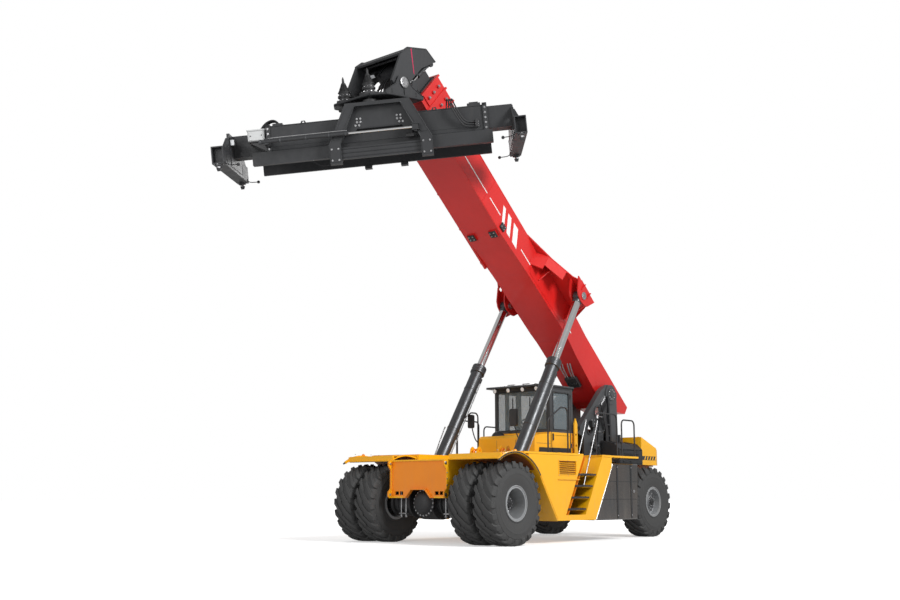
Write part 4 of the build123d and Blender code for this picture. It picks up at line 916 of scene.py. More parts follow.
@dataclass
class Wheel:
    """The tyres and trim of one hub: nuts, beads round the rim, hub cap and valve."""

    body: str
    side: int
    x: float
    nut_circle: float
    nut_count: int
    nut_face: float
    hub_face: float
    hub_radius: float
    rim_edge: float
    tyres: tuple[float, ...]
    replaces: str

    def place(self, y: float) -> Matrix:
        """Matrix of a turned part whose z axis points outward at this y."""
        turn = OUTWARD[self.side]
        return at((self.x, self.side * y, 0.8)) @ turn

    def build_tyres(self, tyre: Mesh) -> None:
        """Put the tyres on, flat where they stand."""
        made = Mesher(f"{self.body}_treaded_tyres", MACHINE)
        for y in self.tyres:
            made.take(tyre, self.place(y))
        made.finish(Finish.TYRE, self.body, (self.replaces,), sharp=28.0, ground=True)

    def build_trim(self) -> None:
        """Nuts, hub bolts, beads round the rim, hub cap and valve."""
        Mesher(f"{self.body}_wheel_nuts", MACHINE).take(bolt_ring(self.nut_count, self.nut_circle, 0.046,
            0.036), self.place(self.nut_face)).take(bolt_ring(12, self.hub_radius * 0.78, 0.024, 0.012),
            self.place(self.hub_face)).finish(Finish.STEEL, self.body)
        rings = Mesher(f"{self.body}_rim_rings", MACHINE)
        place = self.place(self.rim_edge)
        for radius, level, thick in ((0.334, 0.004, 0.012), (0.302, -0.02, 0.007), (0.296, -0.09, 0.006)):
            loop = [(level + thick * cos(turn), radius + thick * sin(turn)) for turn in turns(10)]
            part = Mesher("ring")
            part.turned((0, 0, 0), UP, loop, 72, hollow=True)
            rings.take(part.raw(), place)
        rings.finish(Finish.SILVER, self.body)
        hub = Mesher(f"{self.body}_hub_cap", MACHINE)
        cap = Mesher("cap")
        size = self.hub_radius
        cap.turned((0, 0, 0), UP, [(-0.004, size * 0.98), (0.006, size * 0.98), (0.01, size * 0.94),
            (0.012, size * 0.62), (0.03, size * 0.58), (0.04, size * 0.5), (0.043, size * 0.16),
            (0.055, size * 0.14), (0.057, size * 0.05)], 40)
        cap.turned((size * 0.34, 0, 0.03), UP, [(0, 0.014), (0.02, 0.014), (0.023, 0.01)], 6)
        hub.take(cap.raw(), self.place(self.hub_face))
        hub.finish(Finish.IRON, self.body)
        Mesher(f"{self.body}_valve",
            Frame(self.body, MACHINE.place @ self.place(self.rim_edge))).pipe([(0.262, 0, -0.11),
            (0.264, 0, -0.085), (0.256, 0, -0.055), (0.246, 0, -0.035)], 0.006).rod((0.246, 0, -0.035),
            (0.238, 0, -0.018), 0.008).finish(Finish.STEEL)


class WheelSet:
    """All six wheels."""

    def __init__(self) -> None:
        """Set out the four hubs."""
        self.wheels = []
        for side, name in ((1, "left"), (-1, "right")):
            self.wheels.append(Wheel(f"front_{name}_wheels", side, 0, 0.215, 12, 1.72, 1.88, 0.128, 2.065,
                (1.25, 1.85), f"front_{name}_tyres"))
            self.wheels.append(Wheel(f"rear_{name}_wheel", side, -6.0, 0.2, 10, 1.482, 1.54, 0.118, 1.595,
                (1.38,), f"rear_{name}_tyre"))

    def build(self) -> None:
        """Build tyres and trim."""
        tyre = Tyre().mesh()
        for wheel in self.wheels:
            wheel.build_tyres(tyre)
            wheel.build_trim()
        bpy.data.meshes.remove(tyre)


# ---------------------------------------- boom
def bolt_rows(made: Mesher, places: Iterable[Point], normal: Point, size: float) -> None:
    """Set hexagon bolts on a face.

    Args:
        made: the mesher they go into.
        places: their feet in the mesher's frame.
        normal: the face's outward direction.
        size: width of a head across corners.
    """
    bolt = hexagon_bolt(size)
    turn = Vector(UP).rotation_difference(made.sided(normal)).to_matrix().to_4x4()
    for place in places:
        made.take(bolt, at(made.sided(place)) @ turn)
    bpy.data.meshes.remove(bolt)


def fillet_bead(made: Mesher, start: Point, end: Point, size: float = 0.012) -> None:
    """Lay a weld bead between two points."""
    made.pipe([start, end], size, 8, 1)


@dataclass
class Boom:
    """Stripe, welds, pad bolts, pipes and fittings of the outer boom."""

    half_width: float = 0.47
    top: float = 0.5
    bottom: float = -0.28
    collar_start: float = 8.28
    collar_end: float = 8.96

    def build(self) -> None:
        """Build every piece on the boom."""
        self.build_stripes()
        self.build_welds()
        self.build_collar()
        self.build_pads()
        self.build_pipes()
        self.build_wing_details()
        self.build_foot()
        self.build_tail()

    def build_stripes(self) -> None:
        """A thin white line with slanted blocks on both sides of the boom."""
        made = Mesher("boom_stripes", BOOM)
        for side in (1, -1):
            face = side * (self.half_width + 0.0005)
            out = side * (self.half_width + 0.0022)
            made.prism([(2.05, 0.045), (4.62, 0.045), (4.6, 0.018), (2.03, 0.018)], face, out)
            for start, width in ((4.74, 0.2), (5.06, 0.15), (5.33, 0.11)):
                made.prism([(start, -0.1), (start + width, -0.1), (start + width + 0.24, 0.3),
                    (start + 0.24, 0.3)], face, out)
            made.prism([(5.62, 0.045), (7.3, 0.045), (7.28, 0.018), (5.6, 0.018)], face, out)
        made.finish(Finish.WHITE)

    def build_welds(self) -> None:
        """Beads along the long corners, and doubler plates on the flanks."""
        made = Mesher("boom_weld_beads", BOOM)
        edge = self.half_width
        for _ in made.sides():
            for level in (self.top - 0.022, self.bottom + 0.022):
                fillet_bead(made, (5.45, edge, level), (self.collar_start, edge, level), 0.007)
            made.prism(rectangle(6.1, 0.475, 6.22, -0.255), edge, edge + 0.006)
            made.prism([(2.35, 0.43), (4.05, 0.43), (4.25, 0.16), (4.05, -0.13), (2.55, -0.1), (2.25, 0.1)],
                edge, edge + 0.008)
            made.prism([(-0.45, 0.36), (0.35, 0.36), (0.62, 0.1), (0.35, -0.19), (-0.16, -0.19),
                (-0.5, 0.02)], 0.4, 0.414, bevel=0.003)
        made.finish(Finish.RED)

    def build_collar(self) -> None:
        """Bolts, ribs and wiper of the boom's mouth."""
        ribs = Mesher("collar_ribs", BOOM)
        bolts = Mesher("collar_bolts", BOOM)
        for along in (self.collar_start + 0.18, self.collar_start + 0.5):
            for level in (-0.06, 0.15, 0.38):
                for _ in bolts.sides():
                    bolt_rows(bolts, [(along, 0.543, level)], LEFT, 0.052)
            for across in (-0.36, 0, 0.36):
                bolt_rows(bolts, [(along, across, 0.572)], UP, 0.052)
        for _ in ribs.sides():
            for level in (-0.22, 0.03, 0.27, 0.49):
                ribs.prism([(self.collar_start - 0.16, level), (self.collar_start + 0.04, level - 0.011),
                    (self.collar_start + 0.04, level + 0.011)], 0.47, 0.53)
            ribs.prism(rectangle(self.collar_start + 0.37, -0.19, self.collar_end - 0.05, -0.17), 0.51, 0.54)
        for across in (-0.45, -0.15, 0.15, 0.45):
            ribs.prism([(self.collar_start - 0.2, self.top), (self.collar_start + 0.02, self.top),
                (self.collar_start + 0.02, self.top + 0.065)], across - 0.008, across + 0.008)
        ribs.finish(Finish.RED)
        bolts.finish(Finish.STEEL)
        gland = Mesher("collar_wiper", BOOM)
        edge = self.collar_end
        for low, high in (((edge, -0.47, 0.44), (edge + 0.02, 0.47, 0.475)),
                ((edge, -0.47, -0.155), (edge + 0.02, 0.47, -0.115)), ((edge, 0.41, -0.155),
                (edge + 0.02, 0.47, 0.475)), ((edge, -0.47, -0.155), (edge + 0.02, -0.41, 0.475))):
            gland.box(low, high, 0.003)
        gland.finish(Finish.HOSE)

    def build_pads(self) -> None:
        """Pad brackets and their bolts, below and on the flanks, where the boom's bottom steps."""
        made = Mesher("boom_pad_brackets", BOOM)
        bolts = Mesher("boom_pad_bolts", BOOM)
        for _ in made.sides(bolts):
            made.box((5.29, 0.21, -0.335), (5.45, 0.39, -0.305))
            bolt_rows(bolts, [(5.33, 0.25, -0.335), (5.41, 0.25, -0.335), (5.33, 0.35, -0.335),
                (5.41, 0.35, -0.335)], (0, 0, -1), 0.028)
            made.box((5.3, 0.47, -0.2), (5.47, 0.505, -0.05))
            bolt_rows(bolts, [(5.34, 0.505, -0.16), (5.43, 0.505, -0.16), (5.34, 0.505, -0.09),
                (5.43, 0.505, -0.09)], LEFT, 0.026)
        made.finish(Finish.CHARCOAL)
        bolts.finish(Finish.STEEL)

    def build_pipes(self) -> None:
        """Steel pipes with clamps along the right flank, and a duct along its lower edge."""
        duct = Mesher("boom_duct", BOOM)
        duct.prism([(-0.47, -0.265), (-0.525, -0.265), (-0.525, -0.2), (-0.505, -0.175), (-0.47, -0.175)],
            4.45, 8.24, "x")
        for along in (4.6, 5.6, 6.6, 7.6, 8.15):
            duct.prism([(-0.468, -0.272), (-0.532, -0.272), (-0.532, -0.196), (-0.509, -0.168),
                (-0.468, -0.168)], along, along + 0.05, "x")
        duct.finish(Finish.RED)
        pipes = Mesher("boom_pipes", BOOM)
        for index in range(3):
            level = -0.06 + 0.055 * index
            pipes.pipe([(0.55, -0.43, level - 0.05), (1.1, -0.445, level), (1.6, -0.455, level),
                (2.2, -0.5, level), (4.6, -0.502, level), (8.2, -0.502, level)], 0.014, 10, 8)
        pipes.finish(Finish.STEEL)
        clamps = Mesher("boom_pipe_clamps", BOOM)
        for along in (2.7, 3.6, 4.5, 5.4, 6.3, 7.2, 8.05):
            clamps.box((along - 0.02, -0.47, -0.085), (along + 0.02, -0.522, 0.075))
        clamps.finish(Finish.BLACK)

    def build_wing_details(self) -> None:
        """Pin caps, keeper plates and gussets at the lift cylinders' upper eyes."""
        caps = Mesher("lift_pin_caps", BOOM)
        gussets = Mesher("wing_gussets", BOOM)
        bolts = Mesher("lift_pin_bolts", BOOM)
        for side in (1, -1):
            for face in (1.185, 0.915):
                way = side if face > 1.05 else -side
                caps.turned((2.91, side * face, 0.25), (0, way, 0), [(0, 0.088), (0.014, 0.088),
                    (0.018, 0.08), (0.018, 0.05), (0.026, 0.045)], 40)
                foot = side * face + way * 0.016
                bolt_rows(bolts, [(2.91 + 0.066 * cos(turn), foot, 0.25 + 0.066 * sin(turn))
                    for turn in turns(6)], (0, way, 0), 0.018)
            for along in (2.78, 3.05):
                gussets.prism([(side * 1.175, 0.475), (side * 1.175, 0.3), (side * 1.2, 0.3),
                    (side * 1.23, 0.475)], along, along + 0.016, "x")
            gussets.prism([(side * 0.47, 0.455), (side * 0.47, -0.02), (side * 0.5, -0.02),
                (side * 0.78, 0.455)], 3.72, 3.745, "x")
            for start, end in (((3.25, 0.92, 0.5), (3.95, 0.71, 0.5)), ((3.95, 0.71, 0.5),
                    (4.68, 0.46, 0.5)), ((2.14, 0.46, 0.5), (2.5, 1.0, 0.5))):
                gussets.pipe([(start[0], side * start[1], start[2]), (end[0], side * end[1], end[2])], 0.01,
                    8, 1)
        caps.finish(Finish.STEEL)
        bolts.finish(Finish.STEEL)
        gussets.finish(Finish.RED)

    def build_foot(self) -> None:
        """Valve block with its ports, and four pipes, under the boom's foot."""
        block = Mesher("boom_valve_block", BOOM)
        block.box((0.62, -0.16, -0.335), (0.92, 0.16, -0.245))
        for across in (-0.12, -0.06, 0, 0.06, 0.12):
            block.rod((0.77, across, -0.335), (0.77, across, -0.375), 0.018)
        block.finish(Finish.IRON)
        pipes = Mesher("boom_foot_pipes", BOOM)
        for across in (-0.12, -0.06, 0.06, 0.12):
            pipes.pipe([(0.8, across, -0.3), (1.0, across, -0.285), (1.18, across * 1.2, -0.25),
                (1.3, across * 1.2, -0.19)], 0.015)
        pipes.finish(Finish.STEEL)

    def build_tail(self) -> None:
        """Rear cover and its bolts at the boom's tail."""
        Mesher("boom_tail_cover", BOOM).prism(rectangle(-0.36, 0.34, 0.36, 0.47), -0.955, -0.975, "x",
            0.004).finish(Finish.CHARCOAL)
        bolts = Mesher("boom_tail_bolts", BOOM)
        bolt_rows(bolts, [(-0.975, across, level) for across in (-0.31, 0, 0.31) for level in (0.37, 0.44)],
            (-1, 0, 0), 0.024)
        bolts.finish(Finish.STEEL)


@dataclass
class BoomHead:
    """Stripe, edge bars, pin caps, lamps and hoses on the inner boom's head."""

    plate: float = 0.65

    def build(self) -> None:
        """Build the head's pieces."""
        stripe = Mesher("head_stripes", BOOM)
        edging = Mesher("head_plate_flanges", BOOM)
        caps = Mesher("head_pin_caps", BOOM)
        bolts = Mesher("head_pin_bolts", BOOM)
        for side in (1, -1):
            face, out = side * self.plate, side * (self.plate + 0.002)
            stripe.prism([(9.425, -0.23), (9.455, -0.23), (9.86, 0.085), (9.845, 0.11)], face, out)
            rim = [(9.96, -0.22), (9.92, 0.02), (9.58, 0.5), (9.24, 0.55)]
            for start, end in zip(rim, rim[1:]):
                edging.rod((start[0], side * (self.plate - 0.012), start[1]),
                    (end[0], side * (self.plate - 0.012), end[1]), 0.02)
            caps.turned((9.52, side * self.plate, -0.7), (0, side, 0), [(0, 0.118), (0.004, 0.118),
                (0.005, 0.1)], 40)
            caps.turned((9.52, side * 0.718, -0.7), (0, side, 0), [(0, 0.112), (0.016, 0.112), (0.02, 0.104),
                (0.02, 0.06), (0.028, 0.055)], 40)
            bolt_rows(bolts, [(9.52 + 0.085 * cos(turn), side * 0.738, -0.7 + 0.085 * sin(turn))
                for turn in turns(8)], (0, side, 0), 0.02)
        stripe.finish(Finish.MAGENTA, "inner_boom")
        edging.finish(Finish.CHARCOAL, "inner_boom")
        bars = Mesher("head_cross_bars", BOOM)
        bars.rod((9.5, -0.6, 0.3), (9.5, 0.6, 0.3), 0.035)
        bars.rod((9.8, -0.6, -0.05), (9.8, 0.6, -0.05), 0.028)
        bars.prism([(9.62, -0.18), (9.64, 0.25), (9.6, 0.27), (9.58, -0.18)], -0.3, -0.27)
        bars.prism([(9.62, -0.18), (9.64, 0.25), (9.6, 0.27), (9.58, -0.18)], 0.27, 0.3)
        bars.finish(Finish.CHARCOAL, "inner_boom")
        lamp = Mesher("head_lamps", BOOM)
        lens = Mesher("head_lamp_lenses", BOOM)
        for _ in lamp.sides(lens):
            lamp.box((9.6, 0.34, -0.17), (9.68, 0.5, -0.05), 0.01)
            lens.box((9.605, 0.35, -0.172), (9.675, 0.49, -0.176), 0.001)
        lamp.finish(Finish.BLACK, "inner_boom")
        lens.finish(Finish.CLEAR, "inner_boom")
        hoses = Mesher("head_hoses", BOOM)
        for across in (-0.22, -0.15, -0.08, 0.08, 0.15, 0.22):
            hoses.pipe([(9.44, across, -0.09), (9.47, across, -0.19), (9.44, across * 1.1, -0.34),
                (9.36, across * 1.3, -0.47), (9.36, across * 1.4, -0.6)], 0.017)
        hoses.finish(Finish.HOSE, "inner_boom")
        caps.finish(Finish.STEEL, "yoke")
        bolts.finish(Finish.STEEL, "yoke")


@dataclass
class Cylinders:
    """Glands, ports, pipes and bands of the lift and damper cylinders."""

    lift_length: float = 3.13

    def build(self) -> None:
        """Build the cylinders' pieces."""
        gland = Mesher("lift_glands", LIFT)
        bolts = Mesher("lift_gland_bolts", LIFT)
        ports = Mesher("lift_ports", LIFT)
        pipes = Mesher("lift_pipes", LIFT)
        for side in (1, -1):
            across = side * 1.05
            end = self.lift_length
            gland.turned((end - 0.2, across, 0), AHEAD, [(0, 0.15), (0.012, 0.168), (0.06, 0.168),
                (0.07, 0.16), (0.11, 0.16), (0.12, 0.168), (0.19, 0.168), (0.202, 0.158)], 48)
            gland.turned((end + 0.001, across, 0), AHEAD, [(0, 0.125), (0.016, 0.12), (0.018, 0.092)], 48)
            ring = bolt_ring(12, 0.142, 0.022, 0.011)
            bolts.take(ring, at((end + 0.002, across, 0)) @ TO_X)
            for along in (0.28, 1.35, 2.45):
                gland.turned((along, across, 0), AHEAD, [(0, 0.141), (0.004, 0.147), (0.036, 0.147),
                    (0.04, 0.141)], 48)
            ports.box((0.17, across - 0.05, 0.12), (0.31, across + 0.05, 0.19), 0.008)
            ports.box((end - 0.33, across - 0.05, 0.125), (end - 0.21, across + 0.05, 0.195), 0.008)
            ports.rod((0.24, across, 0.185), (0.24, across, 0.215), 0.026)
            pipes.pipe([(0.24, across + 0.03, 0.18), (0.36, across + 0.03, 0.196),
                (1.2, across + 0.03, 0.198), (2.4, across + 0.03, 0.198), (end - 0.27, across + 0.03, 0.19)],
                0.013)
        gland.finish(Finish.GUNMETAL)
        bolts.finish(Finish.STEEL)
        ports.finish(Finish.IRON)
        pipes.finish(Finish.STEEL)
        self.build_eyes()
        self.build_dampers()

    def build_eyes(self) -> None:
        """Eyes of the lift rods, with their tapered necks."""
        eyes = Mesher("lift_rod_eyes", LIFT)
        for side in (1, -1):
            across = side * 1.05
            rod_end = 5.011
            eyes.turned((rod_end - 0.2, across, 0), AHEAD, [(0, 0.0925), (0.02, 0.1), (0.1, 0.112)], 40)
            eyes.turned((rod_end, across - 0.0785, 0), LEFT, [(0, 0.128), (0.157, 0.128)], 56)
        eyes.finish(Finish.GUNMETAL, "lift_rods")

    @staticmethod
    def build_dampers() -> None:
        """Glands, bands and ports of the yoke's dampers."""
        gland = Mesher("damper_glands", DAMPER)
        for side in (1, -1):
            across = side * 0.52
            gland.turned((0.43, across, 0), AHEAD, [(0, 0.047), (0.006, 0.052), (0.052, 0.052),
                (0.058, 0.045), (0.062, 0.03)], 32)
            gland.turned((0.05, across, 0), AHEAD, [(0, 0.046), (0.005, 0.05), (0.03, 0.05), (0.035, 0.046)],
                32)
            gland.rod((0.1, across, 0.04), (0.1, across, 0.068), 0.014)
        gland.finish(Finish.GUNMETAL)


# ---------------------------------------- load end
@dataclass
class SlewHead:
    """Motor fins, bolts, swivel, edge bars and pipes on the yoke."""

    plate_top: float = -0.26
    cheek: float = 0.698
    motors: tuple[Point, ...] = ((0.578, -0.3987), (0.6233, 0.3231))

    def build(self) -> None:
        """Build the yoke's pieces."""
        self.build_motors()
        self.build_plate()
        self.build_cheeks()
        self.build_lines()

    def build_motors(self) -> None:
        """Gearbox flanges, cooling fins, end cap and bolts of each slewing motor."""
        fins = Mesher("slew_motor_fins", YOKE)
        bolts = Mesher("slew_motor_bolts", YOKE)
        ring = bolt_ring(12, 0.147, 0.03, 0.014)
        small = bolt_ring(10, 0.118, 0.022, 0.01)
        for across, along in self.motors:
            foot = Vector((across, along, self.plate_top))
            bolts.take(ring, at(foot + Vector((0, 0, 0.06))))
            bolts.take(small, at(foot + Vector((0, 0, 0.165))))
            fins.turned(foot, UP, [(0.06, 0.108), (0.066, 0.128), (0.072, 0.128), (0.078, 0.11),
                (0.126, 0.11), (0.128, 0.133), (0.167, 0.133), (0.169, 0.108), (0.224, 0.108),
                (0.226, 0.124), (0.24, 0.124), (0.242, 0.098)], 48)
            for step in range(6):
                low = 0.25 + 0.026 * step
                size = 0.112 - 0.0105 * step
                fins.turned(foot, UP, [(low, size - 0.02), (low + 0.002, size), (low + 0.009, size),
                    (low + 0.011, size - 0.02)], 40)
            fins.turned(foot, UP, [(0.4, 0.052), (0.43, 0.04), (0.432, 0.028), (0.52, 0.02), (0.524, 0.012),
                (0.552, 0.01), (0.556, 0.004)], 24)
        fins.finish(Finish.IRON)
        bolts.finish(Finish.STEEL)

    def build_plate(self) -> None:
        """Bolt circle of the slewing ring, swivel in the middle, edge bars and valve blocks."""
        bolts = Mesher("slew_ring_bolts", YOKE)
        ring = bolt_ring(36, 0.445, 0.036, 0.018)
        bolts.take(ring, at((0, 0, self.plate_top)))
        bolts.finish(Finish.STEEL)
        Mesher("yoke_swivel", YOKE).turned((0, 0, self.plate_top), UP, [(0, 0.15), (0.012, 0.15),
            (0.014, 0.118), (0.05, 0.112), (0.052, 0.095), (0.085, 0.095), (0.087, 0.07), (0.1, 0.065)],
            40).finish(Finish.IRON)
        edge = Mesher("yoke_plate_edges", YOKE)
        rim = [(-0.54, -0.698), (0.56, -0.698), (0.79, -0.48), (0.79, 0.48), (0.56, 0.698), (-0.54, 0.698)]
        for start, end in zip(rim, rim[1:]):
            edge.rod((*start, self.plate_top - 0.02), (*end, self.plate_top - 0.02), 0.026, 12)
        edge.finish(Finish.CHARCOAL)
        Mesher("yoke_valve_blocks", YOKE).box((0.3, -0.13, self.plate_top),
            (0.5, 0.13, self.plate_top + 0.1), 0.006).box((0.33, -0.09, self.plate_top + 0.1),
            (0.47, -0.04, self.plate_top + 0.17), 0.004).box((0.33, 0.04, self.plate_top + 0.1),
            (0.47, 0.09, self.plate_top + 0.17), 0.004).finish(Finish.IRON)

    def build_cheeks(self) -> None:
        """Flanges and gussets outside the yoke's cheeks."""
        flange = Mesher("yoke_cheek_flanges", YOKE)
        for side in (1, -1):
            face = side * self.cheek
            for start, end in (((0.11, 0.13), (0.23, -0.04)), ((0.23, -0.04), (0.56, -0.23)),
                    ((-0.12, 0.13), (-0.25, -0.06)), ((-0.25, -0.06), (-0.56, -0.215))):
                flange.rod((start[0], face, start[1]), (end[0], face, end[1]), 0.012, 10)
            flange.prism(rectangle(-0.012, self.plate_top, 0.012, -0.13), face, face + side * 0.02)
            for along in (-0.36, 0.36):
                flange.prism([(face, self.plate_top), (face - side * 0.16, self.plate_top),
                    (face - side * 0.05, self.plate_top + 0.1), (face, self.plate_top + 0.1)], along,
                    along + 0.016, "x")
        flange.finish(Finish.CHARCOAL)

    def build_lines(self) -> None:
        """Hose-rubber lines from the valve blocks to the motors."""
        pipes = Mesher("slew_motor_pipes", YOKE)
        top = self.plate_top
        for across, along in self.motors:
            side = 1 if along > 0 else -1
            for lift in (0.02, 0.06):
                pipes.pipe([(0.42, side * 0.12, top + 0.04 + lift / 2), (0.44, side * 0.2,
                    top + 0.05 + lift), (across - 0.16, along - side * 0.03, top + 0.14 + lift),
                    (across - 0.1, along, top + 0.16 + lift)], 0.012)
        pipes.finish(Finish.HOSE)


@dataclass
class Carrier:
    """Trim of the frame that slews under the yoke."""

    front: float = 0.86

    def build(self) -> None:
        """Build the carrier's pieces."""
        Mesher("side_shift_rod", CARRIER).rod((0.935, -1.285, -1.01), (0.935, 0.645, -1.01), 0.0226,
            32).finish(Finish.CHROME)
        plates = Mesher("carrier_cover_plates", CARRIER)
        bolts = Mesher("carrier_bolts", CARRIER)
        for _ in plates.sides(bolts):
            across = self.front
            plates.prism([(0.475, -0.5), (0.615, -0.5), (0.925, -1.1), (0.81, -1.1)], across, across + 0.008,
                "x", 0.002)
            plates.prism(rectangle(0.8, -1.24, 0.99, -1.54), across, across + 0.008, "x", 0.002)
            for along, level in ((0.36, -0.7), (0.43, -0.7), (0.36, -0.765), (0.43, -0.765), (0.395, -0.83),
                    (0.465, -0.83)):
                bolt_rows(bolts, [(0.726, along, level)], AHEAD, 0.036)
            for level in (-1.28, -1.5):
                for along in (0.83, 0.96):
                    bolt_rows(bolts, [(across + 0.008, along, level)], AHEAD, 0.032)
            for start, end in (((0.64, -0.446), (1.01, -1.21)), ((0.442, -0.446), (0.782, -1.18))):
                plates.rod((across - 0.004, start[0], start[1]), (across - 0.004, end[0], end[1]), 0.01,
                    segments=10)
        plates.rod((0.725, -0.42, -0.892), (0.725, 0.42, -0.892), 0.014, 12)
        for level in (-1.28, -1.36, -1.44):
            plates.rod((0.792, -1.0, level), (0.792, 1.0, level), 0.01, 8)
        plates.finish(Finish.CHARCOAL)
        Mesher("gear_bolts", CARRIER).take(bolt_ring(32, 0.475, 0.03, 0.016),
            at((0, 0, -0.476)) @ OVER).finish(Finish.STEEL)
        bolts.finish(Finish.STEEL)
        self.build_shift_bracket()

    @staticmethod
    def build_shift_bracket() -> None:
        """Cheeks, pin and valve at the fixed end of the side-shift rod."""
        made = Mesher("side_shift_bracket", CARRIER)
        for level in (-1.075, -0.96):
            made.box((0.725, 0.63, level), (0.985, 0.775, level + 0.022))
        made.rod((0.935, 0.7, -1.1), (0.935, 0.7, -0.92), 0.03)
        made.finish(Finish.CHARCOAL)
        block = Mesher("side_shift_valve", CARRIER)
        block.box((0.726, 0.5, -1.16), (0.8, 0.66, -1.1))
        for along in (0.53, 0.58, 0.63):
            block.rod((0.763, along, -1.105), (0.763, along, -1.07), 0.014)
        block.finish(Finish.IRON)


